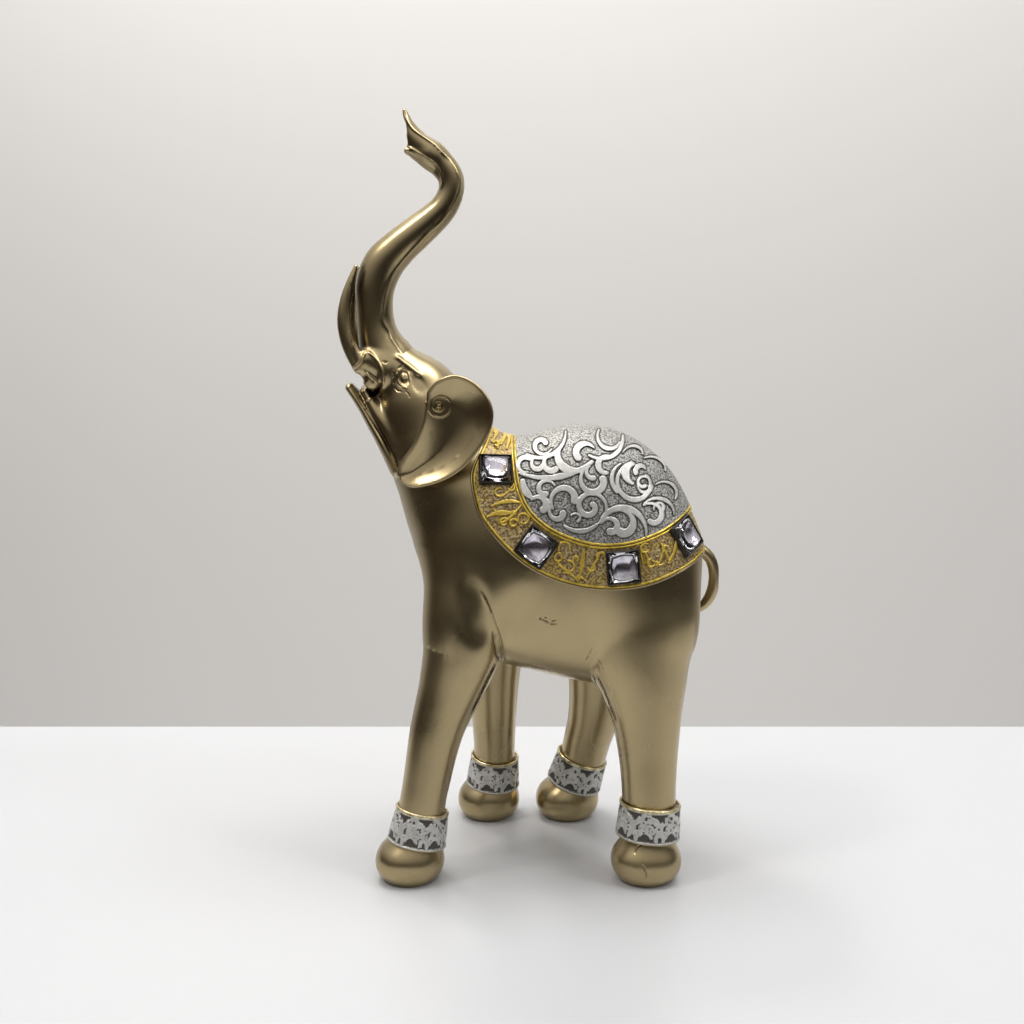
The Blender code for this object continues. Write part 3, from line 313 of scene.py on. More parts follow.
LEAVES = (
    (-6.7, 36.3, -5.8, 32.5, -8.0, 28.2, 0.8, 1.5, 0.7),
    (-4.5, 35.8, -2.7, 31.9, -4.2, 27.4, 0.8, 1.6, 0.7),
    (-1.9, 34.9, -1.0, 30.5, -2.1, 25.4, 0.7, 1.5, 0.7),
    (-5.7, 25.6, -4.2, 28.9, -0.9, 31.2, 0.6, 1.1, 0.7),
    (-5.1, 6.2, -2.6, 7.3, 0.6, 10.9, 0.6, 0.9, 0.6),
    (-8.2, 2.4, -2.2, 4.2, 3.9, 3.6, 0.7, 1.6, 0.6),
    (-9.9, -1.9, -4.5, -0.2, 1.2, -0.9, 0.8, 2.0, 0.7),
    (-4.7, -4.4, -0.6, -2.0, 3.9, 3.2, 0.7, 1.2, 0.6),
    (-7.5, 1.4, -4.2, -0.9, 0.6, 0.5, 0.6, 1.1, 0.6),
    (9.2, -1.9, 14.4, -4.1, 20.3, -8.2, 0.9, 2.3, 0.8),
    (19.0, -8.0, 22.3, -9.0, 25.6, -11.0, 0.7, 1.5, 0.7),
    (20.3, -6.3, 22.4, -8.2, 23.2, -10.8, 0.5, 1.1, 0.5),
    (28.8, -15.0, 28.0, -20.8, 26.8, -27.1, 0.8, 1.9, 0.7),
    (29.6, -25.9, 32.4, -21.8, 35.3, -16.1, 0.6, 0.9, 0.6),
    (25.6, -26.8, 27.0, -25.7, 29.6, -27.5, 0.6, 1.1, 0.6),
    (20.3, -24.2, 23.6, -24.8, 26.3, -27.7, 0.6, 0.9, 0.6),
    (17.7, -18.8, 19.5, -21.6, 23.1, -24.3, 0.6, 0.9, 0.6),
    (53.5, -16.6, 54.4, -19.1, 54.9, -22.3, 0.6, 0.9, 0.6),
    (59.4, -12.4, 61.7, -16.6, 63.0, -20.4, 0.6, 1.1, 0.6),
    (62.5, -20.4, 65.1, -14.9, 65.7, -9.0, 0.7, 1.2, 0.6),
    (57.5, -21.2, 59.6, -18.7, 60.5, -12.7, 0.6, 0.9, 0.5),
    (38.5, -11.6, 39.6, -12.1, 40.7, -11.7, 1.1, 1.5, 0.8),
    (44.9, -11.3, 46.3, -11.0, 47.6, -10.8, 1.1, 1.5, 0.8),
    (51.5, -14.9, 51.9, -18.8, 52.8, -20.8, 0.5, 0.8, 0.5),
)

# Scrolls of one anklet tile, a tenth of the tile wide and high as the unit

ANKLET_SCROLLS = (
    (3.0, 5.4, 2.4, 1.0, 200, -160, 0.8, 1.2, 1.4),
    (7.4, 4.6, 2.3, 1.0, 20, 380, 0.8, 1.2, 1.4),
    (5.0, 8.6, 2.6, 2.6, 200, 340, 0.7, 1.0, 0.7),
    (0.0, 1.6, 2.4, 2.4, 20, 120, 0.7, 1.0, 0.7),
    (10.0, 1.6, 2.4, 2.4, 60, 160, 0.7, 1.0, 0.7),
    (5.2, 1.9, 1.6, 1.2, -20, 200, 0.9, 1.1, 0.9),
    (0.2, 7.8, 1.4, 1.1, -120, 90, 0.8, 1.2, 0.9),
    (9.9, 7.6, 1.4, 1.1, 90, 260, 0.8, 1.2, 0.9),
)

# Carved lines of the head and trunk on the view plane: height, softness, points; then soft dents and
# bosses: height, middle, two half widths and tilt. The near flank and legs have their own below.

HEAD_LINES = (
    (0.55, 0.30, ((-45.6, 56.4), (-44.6, 56.8), (-43.4, 57.0), (-42.2, 56.3),
                  (-41.3, 54.9), (-40.9, 53.2), (-40.9, 51.6))),
    (0.50, 0.28, ((-45.7, 56.0), (-46.0, 54.9), (-45.9, 53.2), (-45.3, 51.8),
                  (-44.2, 50.7), (-43.0, 49.9), (-41.8, 49.4))),
    (-0.40, 0.45, ((-45.5, 57.4), (-43.9, 58.1), (-42.4, 57.4), (-41.0, 56.0))),
    (0.80, 1.00, ((-46.7, 62.4), (-45.0, 61.5), (-43.2, 60.0),
                  (-41.1, 58.5), (-38.8, 56.7), (-35.8, 54.1))),
    (-0.22, 0.25, ((-47.5, 57.4), (-48.0, 56.3), (-47.6, 54.9))),
    (-0.22, 0.25, ((-47.3, 54.0), (-47.6, 52.7), (-47.2, 51.3))),
    (-0.25, 0.28, ((-47.0, 49.8), (-45.7, 48.4), (-43.9, 48.1))),
    (-0.25, 0.28, ((-42.8, 48.3), (-41.5, 47.3), (-40.9, 45.7))),
    (-0.45, 0.35, ((-51.7, 60.1), (-50.7, 59.6), (-49.8, 60.0))),
    (0.60, 0.45, ((-58.2, 64.3), (-59.2, 62.5), (-60.8, 60.0), (-62.5, 58.5), (-63.8, 57.4))),
    (0.60, 0.60, ((-58.2, 64.3), (-56.4, 63.3), (-54.6, 61.5), (-53.1, 59.2),
                  (-52.0, 56.4), (-51.3, 53.4), (-51.5, 50.6))),
    (0.40, 0.30, ((-59.0, 56.4), (-57.4, 54.9), (-55.9, 53.4), (-54.6, 52.4), (-53.6, 51.6))),
    (-0.70, 0.60, ((-52.4, 51.6), (-53.1, 49.8), (-54.9, 47.5), (-56.7, 46.0))),
    (0.45, 0.40, ((-58.5, 43.7), (-56.9, 45.0), (-54.9, 46.2), (-53.1, 47.0))),
    (-0.30, 0.40, ((-64.0, 49.0), (-59.9, 42.7), (-56.3, 37.1), (-52.8, 31.7),
                  (-49.7, 26.9), (-46.7, 21.3), (-44.9, 16.2))),
    (0.55, 0.70, ((-24.4, 140.8), (-22.0, 136.8), (-20.6, 131.9), (-21.6, 127.1),
                  (-23.8, 122.2), (-28.1, 116.0), (-34.8, 109.9), (-40.9, 103.2),
                  (-46.4, 96.5), (-49.8, 89.7), (-51.3, 83.0), (-51.6, 76.9),
                  (-49.0, 72.2), (-47.9, 69.2), (-45.6, 65.6), (-43.3, 62.8))),
    (0.50, 0.50, ((-41.8, 146.3), (-38.5, 144.2), (-34.8, 141.7), (-31.1, 139.3),
                  (-28.7, 135.6), (-27.8, 131.9), (-28.7, 128.9))),
    (0.50, 0.65, ((-43.4, 160.4), (-42.1, 157.0), (-39.7, 153.4), (-36.0, 150.6),
                  (-31.1, 147.2), (-27.5, 143.6), (-24.4, 140.8))),
    (0.35, 0.30, ((-62.0, 98.3), (-63.7, 93.4), (-64.7, 87.3), (-64.9, 79.9),
                  (-64.7, 73.8), (-63.5, 67.6), (-62.0, 62.5))),
)
HEAD_SPOTS = (
    (-0.60, -43.3, 53.2, 2.3, 2.9, -20),
    (0.85, -43.0, 53.8, 1.4, 1.7, 0),
    (-1.00, -37.1, 50.8, 2.8, 4.2, 35),
    (-0.60, -55.2, 57.4, 2.2, 4.4, 12),
    (-1.00, -60.3, 53.9, 2.3, 2.0, 0),
    (1.30, -29.1, 42.4, 1.3, 1.3, 0),
)
FLANK_LINES = (
    (0.50, 0.50, ((-12.2, -32.2), (-9.6, -37.8), (-5.7, -47.8), (-4.0, -53.9), (-3.1, -59.9))),
    (-0.50, 0.55, ((-7.7, -46.9), (-6.6, -53.9), (-5.8, -58.6))),
    (0.40, 0.35, ((-5.3, -59.2), (-8.6, -66.0), (-12.0, -72.9), (-15.5, -79.9), (-18.3, -85.9))),
    (-0.45, 0.35, ((-6.3, -59.9), (-9.8, -66.7), (-13.2, -73.8), (-16.7, -80.9))),
    (-0.25, 0.22, ((10.2, -41.9), (12.9, -43.0), (15.5, -44.3), (18.3, -44.3))),
    (-0.20, 0.22, ((12.9, -41.6), (15.7, -43.1), (17.7, -43.5))),
    (0.45, 0.35, ((31.6, -63.8), (32.7, -67.1), (35.0, -71.7),
                  (37.7, -77.7), (40.0, -83.0), (42.3, -88.3))),
    (-0.50, 0.32, ((33.4, -64.4), (35.7, -68.4), (38.0, -73.7), (40.3, -79.7), (42.2, -85.0))),
    (0.30, 0.45, ((34.9, -58.5), (36.5, -63.8), (38.5, -69.1), (40.8, -75.7), (43.1, -83.0))),
    (-0.30, 0.30, ((29.4, -59.8), (30.9, -57.1), (32.4, -53.8))),
    (-0.45, 0.28, ((51.9, -140.6), (53.2, -143.3), (54.0, -146.6))),
    (-0.40, 0.28, ((47.5, -142.0), (47.7, -145.9))),
    (-0.30, 0.28, ((48.9, -136.7), (50.4, -134.0), (52.6, -132.4))),
)
FLANK_SPOTS = (
    (-1.30, -15.2, -39.6, 6.5, 13.0, 6),
)

# Places where the casting is cut finer: centre and radius

DETAIL_SPOTS = (
    ((-42.2, -14.5, 196.8), 8.0),
    ((-42.2, 14.5, 196.8), 8.0),
    ((-57.0, -8.0, 197.0), 11.0),
    ((-57.0, 8.0, 197.0), 11.0),
    ((-41.0, 0.0, 290.0), 11.0),
)

# Boxes in which the surfaces are looked for, and how many triangles each piece keeps

CASTING_BOX = ((-73.0, -48.0, -2.4), (89.0, 48.0, 303.0))
CLOTH_BOX = ((-17.5, -41.0, 116.5), (79.5, 41.0, 183.0))
CASTING_TRIANGLES = 160000
PANEL_TRIANGLES = 195000
BORDER_TRIANGLES = 190000

# Spacing of points along the cords and the ear rims, and over the anklets

CORD_STEP = 0.8
EAR_RIM_STEP = 0.5
ANKLET_STEP = 0.30
ANKLET_TILES = 7

# Stage in metres: two corners of the table top and of the wall, then each lamp's place, the point
# that it faces, its width, height, power in watts and colour

TABLE_TOP = ((-0.31, -0.42, -0.03), (0.60, 0.145, 0.0))
WALL = ((-1.0, 1.1, -1.3), (2.6, 1.15, 2.6))
LAMPS = {
    "back_lamp": ((-0.46, 0.78, 1.5), (0.0, 0.0, 0.1), 0.24, 0.24, 6.2, "#fffaf4"),
    "left_lamp": ((-0.87, -0.39, 1.5), (0.0, 0.0, 0.1), 0.24, 0.24, 6.2, "#fffaf4"),
    "right_lamp": ((1.35, -0.60, 1.4), (0.0, 0.2, 0.2), 0.26, 0.26, 4.6, "#ffffff"),
    "ceiling": ((0.0, 0.0, 1.9), (0.0, 0.0, 0.0), 1.6, 1.2, 5.6, "#ffffff"),
    "wall_lamp": ((0.1, 0.2, 1.7), (0.3, 1.1, -0.6), 2.0, 0.6, 28.0, "#ffffff"),
    "low_wall_lamp": ((0.1, 0.3, -0.7), (0.1, 1.1, -0.5), 2.0, 0.4, 4.0, "#ffffff"),
}
LENS = 43.45
SENSOR = 36.0


def smooth_join(first, second, reach):
    """Join two distance fields with a fillet that is about `reach` wide."""
    share = np.clip(0.5 + 0.5 * (second - first) / reach, 0.0, 1.0)
    return second + (first - second) * share - reach * share * (1.0 - share)


def smooth_cut(first, second, reach):
    """Take the second field out of the first with a rounded edge."""
    return -smooth_join(-first, second, reach)


def resample(stations, count):
    """Catmull-Rom curve through the stations, `count` steps between two of them."""
    rows = np.array(stations, float)
    ends = np.vstack((2.0 * rows[0] - rows[1], rows, 2.0 * rows[-1] - rows[-2]))
    share = np.arange(count)[:, None] / count
    parts = []
    for i in range(len(rows) - 1):
        a, b, c, d = ends[i:i + 4]
        parts.append(0.5 * (2.0 * b + (c - a) * share + (2.0 * a - 5.0 * b + 4.0 * c - d) * share ** 2
                            + (3.0 * b - a - 3.0 * c + d) * share ** 3))
    parts.append(rows[-1:])
    return np.vstack(parts)


def limb(points, stations, power=2.0):
    """Distance to a limb whose oval section changes evenly along a curved spine.

    The spine is a Catmull-Rom cubic through the stations. Each point's place on it starts at the
    nearest chord and takes three Newton steps to where the line from the spine meets it squarely.
    """
    rows = np.array(stations, float)
    ends = np.vstack((2.0 * rows[0] - rows[1], rows, 2.0 * rows[-1] - rows[-2]))
    a, b, c, d = ends[:-3], ends[1:-2], ends[2:-1], ends[3:]
    bend = a - 2.5 * b + 2.0 * c - 0.5 * d
    twist = 1.5 * (b - c) + 0.5 * (d - a)
    cubic = np.stack((b, 0.5 * (c - a), bend, twist), axis=1)
    widest = rows[:, 3:].max() + REACH
    close = np.all((points > rows[:, :3].min(axis=0) - widest)
                   & (points < rows[:, :3].max(axis=0) + widest), axis=1)
    near = points[close]
    least = np.full(len(near), 1e9)
    place = np.zeros(len(near))
    for i in range(len(rows) - 1):
        axis = rows[i + 1, :3] - rows[i, :3]
        from_start = near - rows[i, :3]
        share = np.clip(from_start @ axis / (axis @ axis), 0.0, 1.0)
        gap = ((from_start - share[:, None] * axis) ** 2).sum(axis=1)
        closer = gap < least
        least[closer] = gap[closer]
        place[closer] = i + share[closer]
    for step in range(4):
        i = np.minimum(place.astype(int), len(rows) - 2)
        t = (place - i)[:, None]
        k = cubic[i]
        spine = k[:, 0] + t * (k[:, 1] + t * (k[:, 2] + t * k[:, 3]))
        if step == 3:
            break
        speed = (k[:, 1] + t * (2.0 * k[:, 2] + 3.0 * t * k[:, 3]))[:, :3]
        turning = (2.0 * k[:, 2] + 6.0 * t * k[:, 3])[:, :3]
        offset = near - spine[:, :3]
        square = (speed ** 2).sum(axis=1)
        slope = np.maximum(square - (offset * turning).sum(axis=1), 0.4 * square)
        move = np.clip((offset * speed).sum(axis=1) / slope, -0.4, 0.4)
        place = np.clip(place + move, 0.0, len(rows) - 1.0)
    offset = near - spine[:, :3]
    depth = np.hypot(offset[:, 0], offset[:, 2])
    whole = np.full(len(points), 2.0 * REACH)
    whole[close] = oval(depth, np.abs(offset[:, 1]), spine[:, 3], spine[:, 4], power)
    return whole


def oval(first, second, half_first, half_second, power=2.0):
    """Nearly true distance to an oval from its two scaled offsets."""
    a = first / half_first
    b = second / half_second
    level = (a ** power + b ** power) ** (1.0 / power)
    slope = np.sqrt((a / half_first) ** 2 + (b / half_second) ** 2)
    ratio = np.sqrt(a ** 2 + b ** 2)
    return (level - 1.0) * np.maximum(ratio, 1e-6) / np.maximum(slope, 1e-6)


def ball(points, centre, radii, power=2.0):
    """Nearly true distance to an ellipsoid, its flanks flatter as the power goes up."""
    scaled = np.abs(points - np.array(centre)) / np.array(radii)
    side_view = np.hypot(scaled[:, 0], scaled[:, 2])
    level = (side_view ** power + scaled[:, 1] ** power) ** (1.0 / power)
    ratio = np.sqrt((scaled ** 2).sum(axis=1))
    slope = np.sqrt(((scaled / np.array(radii)) ** 2).sum(axis=1))
    return (level - 1.0) * np.maximum(ratio, 1e-6) / np.maximum(slope, 1e-6)


def outline_distance(x, z, corners):
    """Signed distance in the side view to a closed outline, negative inside it."""
    corners = np.array(corners, float)
    best = np.full(x.shape, 1e6)
    inside = np.zeros(x.shape, bool)
    for a, b in zip(corners, np.roll(corners, -1, axis=0)):
        edge = b - a
        share = np.clip(((x - a[0]) * edge[0] + (z - a[1]) * edge[1]) / (edge @ edge), 0.0, 1.0)
        best = np.minimum(best, (x - a[0] - share * edge[0]) ** 2 + (z - a[1] - share * edge[1]) ** 2)
        crosses = (a[1] > z) != (b[1] > z)
        rise = b[1] - a[1] if b[1] != a[1] else 1e-9
        inside ^= crosses & (x < a[0] + (z - a[1]) * edge[0] / rise)
    return np.where(inside, -1.0, 1.0) * np.sqrt(best)


def smooth_outline(corners, count=4, closed=True):
    """Rounded outline through the corners."""
    rows = np.array(corners, float)
    if not closed:
        return resample(rows, count)
    padded = np.vstack((rows[-2:], rows, rows[:3]))
    return resample(padded, count)[2 * count:(2 + len(rows)) * count]


def cloth_outline(edge):
    """Close a cloth edge above the back, so that it covers everything over the edge."""
    curve = smooth_outline(edge, 4, False)
    return np.vstack((curve, ((100.0, 210.0), (curve[0][0], 210.0))))


def torso(points):
    """Barrel of the body with the neck and head growing out of it."""
    barrel = ball(points, (27.6, 0.0, 126.4), (45.2, 34.6, 49.4), 2.35)
    belly = limb(points, ((4.0, 0.0, 107.0, 26.5, 31.0), (42.0, 0.0, 100.0, 28.0, 31.0)), 2.6)
    barrel = smooth_join(barrel, belly, 6.0)
    return smooth_join(barrel, limb(points, NECK), 6.0)


def legs(points):
    """Four legs with their feet; the soles reach a little below the floor plane."""
    whole = None
    for name, stations in LEGS.items():
        leg = limb(points, stations)
        x, y, half_long, half_wide = FEET[name]
        foot = ball(points, (x, y, FOOT_CENTRE), (half_long, half_wide, FOOT_HALF_HEIGHT), 2.2)
        leg = smooth_join(leg, foot, 3.0)
        low, high, low_radius, high_radius = BANDS[name]
        leg = np.minimum(leg, band(points, low, high, low_radius - 1.2, high_radius - 1.2))
        whole = leg if whole is None else np.minimum(whole, leg)
    return whole


def band(points, low, high, low_radius, high_radius):
    """Ankle band: a short cone with rounded edges on the leg's own axis."""
    low = np.array(low)
    axis = np.array(high) - low
    length = math.sqrt(axis @ axis)
    along = (points - low) @ (axis / length)
    radial = points - low - along[:, None] * (axis / length)
    out = np.sqrt((radial ** 2).sum(axis=1))
    share = np.clip(along / length, 0.0, 1.0)
    side = out - (low_radius + (high_radius - low_radius) * share)
    ends = np.abs(along - 0.5 * length) - 0.5 * length
    rounding = 0.6
    return (np.minimum(np.maximum(side, ends) + rounding, 0.0)
            + np.hypot(np.maximum(side + rounding, 0.0), np.maximum(ends + rounding, 0.0)) - rounding)


def ear_sheet(x, z):
    """Distance of the ear's rim plane from the middle plane."""
    return 29.0 + 0.16 * (x + 25.0) - 0.06 * (z - 180.0)


def ear(points, side):
    """Dished ear on a set-back stem that fills the space behind it."""
    x = points[:, 0] - (FAR_EAR_SHIFT[0] if side > 0 else 0.0)
    z = points[:, 2] - (FAR_EAR_SHIFT[1] if side > 0 else 0.0)
    out = points[:, 1] * side
    flat = EAR_MAP(x, z)
    depth = np.clip(-flat / 12.0, 0.0, 1.0)
    face = ear_sheet(x, z) - 5.0 * depth * (2.0 - depth)
    sheet = np.maximum(flat, np.abs(out - face + 1.1) - 1.1)
    stem = np.maximum(np.maximum(flat + 5.0, out - face + 1.0), 4.0 - out)
    return smooth_join(sheet, stem, 1.5)


def head_parts(points):
    """Trunk with its open tip, jaw, tusks and mouth hollows."""
    trunk = limb(points, TRUNK)
    tip = limb(points, ((-30.6, 0.0, 281.6, 5.2, 5.0), (-34.8, 0.0, 284.8, 5.3, 5.2),
                        (-37.6, 0.0, 288.9, 3.9, 4.6), (-39.8, 0.0, 293.8, 2.0, 2.8),
                        (-41.3, 0.0, 298.6, 0.8, 1.0)))
    lip = limb(points, ((-33.0, 0.0, 282.0, 3.2, 4.8), (-40.4, 0.0, 283.6, 1.3, 4.2)))
    trunk = smooth_join(smooth_join(trunk, tip, 2.0), lip, 1.5)
    scoop = ball(points, (-45.6, 0.0, 290.8), (5.2, 30.0, 7.0))
    bore = limb(points, ((-43.0, 0.0, 289.0, 3.2, 2.9), (-36.6, 0.0, 285.8, 2.2, 2.0)))
    trunk = smooth_cut(trunk, np.minimum(scoop, bore), 0.8)
    jaw = limb(points, JAW)
    mirrored = points.copy()
    mirrored[:, 1] = -np.abs(mirrored[:, 1])
    tusks = limb(mirrored, TUSK)
    sheath = limb(mirrored, ((-49.0, -7.0, 200.0, 7.0, 6.0), (-56.6, -8.4, 203.4, 4.6, 4.4)))
    return trunk, jaw, tusks, sheath, mirrored


def figure(points, body):
    """Distance to the bare figure, without the cloth, grown from its torso and legs."""
    trunk, jaw, tusks, sheath, mirrored = head_parts(points)
    body = smooth_join(body, trunk, 4.5)
    body = smooth_join(body, limb(points, THROAT), 3.0)
    body = smooth_join(body, jaw, 0.8)
    body = smooth_join(body, sheath, 2.0)
    hollow = ball(mirrored, (-59.0, -9.5, 196.4), (4.4, 5.0, 3.6))
    body = smooth_cut(body, hollow, 1.5)
    body = smooth_join(body, tusks, 0.8)
    for side in (-1.0, 1.0):
        body = smooth_join(body, ear(points, side), 2.5)
    return smooth_join(body, limb(points, TAIL), 1.2)


def hide(points):
    """Distance to the torso and legs; the legs leave the belly in a crease that softens upward."""
    reach = 1.2 + 9.0 * smooth_step(points[:, 2], 84.0, 122.0)
    return smooth_join(torso(points), legs(points), reach)


def slope_of(shape, places, reach=0.05):
    """Direction in which a distance grows, as unit vectors."""
    slope = gradient(shape, places, reach)[0]
    return slope / np.maximum(np.linalg.norm(slope, axis=1), 1e-9)[:, None]


def meet(shape, start, end, steps=40):
    """First points where the lines from start to end enter the shape, and which lines do."""
    span = end - start
    before = np.zeros(len(start))
    after = np.ones(len(start))
    found = np.zeros(len(start), bool)
    for i in range(steps + 1):
        share = i / steps
        inside = shape(start + share * span) < 0.0
        newly = inside & ~found
        after[newly] = share
        before[newly] = share - 1.0 / steps
        found |= inside
    for _ in range(18):
        middle = 0.5 * (before + after)
        inside = shape(start + middle[:, None] * span) < 0.0
        after = np.where(inside, middle, after)
        before = np.where(inside, before, middle)
    return start + after[:, None] * span, found


def on_flank(x, z, rise):
    """Points on the left flank at the given places of the side view."""
    start = np.stack((x, np.full(len(x), -60.0), z), axis=1)
    end = np.stack((x, np.zeros(len(x)), z), axis=1)
    return meet(lambda points: hide(points) - rise, start, end)


def cloth_edge(edge, rise, spacing):
    """Closed loop of evenly spaced points where a cloth edge lies on the body."""
    curve = smooth_outline(edge, 24, False)
    places, found = on_flank(curve[:, 0], curve[:, 1], rise)
    half = places[found]
    half[0, 1] = 0.0
    half[-1, 1] = 0.0
    steps = np.linalg.norm(np.diff(half, axis=0), axis=1)
    run = np.concatenate(((0.0,), np.cumsum(steps)))
    count = int(round(run[-1] / spacing))
    marks = np.linspace(0.0, run[-1], count + 1)
    half = np.stack([np.interp(marks, run, half[:, i]) for i in range(3)], axis=1)
    other = half[-2:0:-1] * np.array((1.0, -1.0, 1.0))
    return np.vstack((half, other))


def gem_frames():
    """Origin and three axes of each stone on the left: along the border, across it and outward."""
    x = np.array([place[0] for place in GEM_PLACES])
    z = np.array([place[1] for place in GEM_PLACES])
    centres = on_flank(x, z, sizes().cloth / UNIT)[0]
    outward = slope_of(hide, centres)
    step = 0.5
    away = np.stack((OUTER_MAP(x + step, z) - OUTER_MAP(x - step, z), np.zeros(len(x)),
                     OUTER_MAP(x, z + step) - OUTER_MAP(x, z - step)), axis=1)
    across = away - (away * outward).sum(axis=1)[:, None] * outward
    across /= np.linalg.norm(across, axis=1)[:, None]
    along = np.cross(across, outward)
    turn = np.array([place[2] for place in GEM_PLACES])[:, None]
    turned = np.cos(turn) * along + np.sin(turn) * across
    across = np.cos(turn) * across - np.sin(turn) * along
    return [np.stack(frame) for frame in zip(centres, turned, across, outward)]


def cells_to_mesh(values, low, step):
    """Points at the mean of each cell's edge crossings, a quad around each crossed grid edge."""
    inside = values < 0.0
    corners = np.array([(i, j, k) for i in (0, 1) for j in (0, 1) for k in (0, 1)])
    nx, ny, nz = values.shape
    filled = np.zeros((nx - 1, ny - 1, nz - 1), np.int8)
    for i, j, k in corners:
        filled += inside[i:nx - 1 + i, j:ny - 1 + j, k:nz - 1 + k]
    active = (filled > 0) & (filled < 8)
    cells = np.argwhere(active)
    number = np.full(active.shape, -1)
    number[active] = np.arange(len(cells))
    total = np.zeros((len(cells), 3))
    hits = np.zeros(len(cells))
    for a in range(8):
        for b in range(a + 1, 8):
            if np.abs(corners[a] - corners[b]).sum() != 1:
                continue
            value_a = values[tuple((cells + corners[a]).T)]
            value_b = values[tuple((cells + corners[b]).T)]
            crossed = (value_a < 0.0) != (value_b < 0.0)
            share = np.where(crossed, value_a / np.where(crossed, value_a - value_b, 1.0), 0.0)
            place = corners[a] + share[:, None] * (corners[b] - corners[a])
            total += place * crossed[:, None]
            hits += crossed
    places = low + (cells + total / hits[:, None]) * step
    quads = []
    for axis in range(3):
        u = np.eye(3, dtype=int)[(axis + 1) % 3]
        v = np.eye(3, dtype=int)[(axis + 2) % 3]
        first = np.take(inside, np.arange(inside.shape[axis] - 1), axis)
        second = np.take(inside, np.arange(1, inside.shape[axis]), axis)
        edges = np.argwhere(first != second)
        limit = np.array(active.shape)
        keep = np.all((edges - u - v >= 0) & (edges < limit), axis=1)
        edges = edges[keep]
        leaving = first[tuple(edges.T)]
        ring = np.stack([number[tuple((edges - u - v).T)], number[tuple((edges - v).T)],
                         number[tuple(edges.T)], number[tuple((edges - u).T)]], axis=1)
        quads.append(np.where(leaving[:, None], ring, ring[:, ::-1]))
    return places, np.vstack(quads)


def sizes():
    """The statue's size settings."""
    return bpy.context.scene.statue_sizes


def colours():
    """The statue's colour settings."""
    return bpy.context.scene.statue_colours


def grid_step(fine):
    return fine * 1.0


def linear(code):
    """sRGB hex to linear: each channel c becomes c / 12.92, or ((c + 0.055) / 1.055) to the power 2.4."""
    channels = [int(code[i:i + 2], 16) / 255.0 for i in (1, 3, 5)]
    return tuple(c / 12.92 if c <= 0.04045 else ((c + 0.055) / 1.055) ** 2.4 for c in channels) + (1.0,)


def colour_setting(name, code, description):
    """A colour that a user can change, from its hex value."""
    return bpy.props.FloatVectorProperty(name=name, description=description, subtype="COLOR", size=3,
                                         min=0.0, max=1.0, default=linear(code)[:3])


def length_setting(name, value, description):
    """A length in metres that a user can change."""
    return bpy.props.FloatProperty(name=name, description=description, default=value, min=0.0,
                                   soft_max=0.1, unit="LENGTH", precision=5)


class StatueSizes(bpy.types.PropertyGroup):
    """Lengths of the dressed surfaces."""

    body_grid: length_setting("Casting grid", 0.0006, "Spacing of the grid that the skin is read from")
    cloth_grid: length_setting("Cloth grid", 0.00036, "Spacing of the grid that the cloth is read from")
    cloth: length_setting("Cloth thickness", 0.0016, "How far the cloth stands off the body")
    panel: length_setting("Panel rise", 0.0004, "How far the silver panel stands above the border")
    scroll: length_setting("Scroll relief", 0.00055, "How far the scrolls stand above their ground")
    filigree: length_setting("Filigree relief", 0.0005, "How far the gold wires stand above the border")
    cord: length_setting("Cord", 0.00045, "Radius of one gold cord")
    gem: length_setting("Stone", 0.0110, "Side of a square stone")
    gem_height: length_setting("Stone height", 0.0030, "Height of a stone from its floor to its table")
    clearance: length_setting("Stone clearance", 0.0003, "Gap between a stone and its setting")
    wall: length_setting("Setting wall", 0.0006, "Thickness of a setting's wall")
    setting_rise: length_setting("Setting rise", 0.0012, "How far a setting stands above the cloth")
    anklet: length_setting("Anklet relief", 0.0006, "Depth of the anklets' filigree")


class StatueColours(bpy.types.PropertyGroup):
    """Colours of the finishes and the setting."""

    bronze: colour_setting("Bronze", "#ae9d77", "Satin bronze lacquer")
    # Painted shade: the dark colour that the bronze is mixed toward in creases and hollows, where less light
    # reaches.
    bronze_crease_shade: colour_setting("Bronze in hollows", "#43362b", "Bronze lacquer where it lies deep")
    silver: colour_setting("Silver", "#e2e1dc", "Silver leaf on the scrolls and anklets")
    silver_ground: colour_setting("Dark wash", "#4a4742", "Dark wash in the silver's ground")
    gold: colour_setting("Gold", "#d3b54a", "Gold paint on cords and filigree")
    border: colour_setting("Border hollows", "#775d3d", "Brown between the border's pebbles")
    border_pale: colour_setting("Border pebbles", "#c0ad7c", "Pale bronze on the border's pebbles")
    setting: colour_setting("Setting", "#1c1815", "Black-brown paint of the settings")
    stone: colour_setting("Stone", "#f2eef6", "Clear faceted stone")
    table: colour_setting("Table", "#b8b9bb", "White table top")
    wall: colour_setting("Wall", "#dddbd8", "Pale wall")


def add_node(tree, kind, inputs=None, **settings):
    """Add a node; each input takes a value, or another node's output to link from."""
    node = tree.nodes.new(kind)
    for name, value in settings.items():
        setattr(node, name, value)
    for key, value in (inputs or {}).items():
        if isinstance(value, bpy.types.NodeSocket):
            tree.links.new(value, node.inputs[key])
        else:
            node.inputs[key].default_value = value
    return node


def new_material(name):
    """An empty node material, its tree and its object coordinates."""
    material = bpy.data.materials.new(name)
    material.use_nodes = True
    tree = material.node_tree
    tree.nodes.clear()
    return material, tree, add_node(tree, "ShaderNodeTexCoord").outputs["Object"]


def close_material(tree, shader):
    """Send the shader to the surface."""
    add_node(tree, "ShaderNodeOutputMaterial", {"Surface": shader.outputs[0]})


def shade(colour, amount=1.0):
    """The colour times an amount, with an opaque alpha."""
    return tuple(min(1.0, channel * amount) for channel in colour[:3]) + (1.0,)


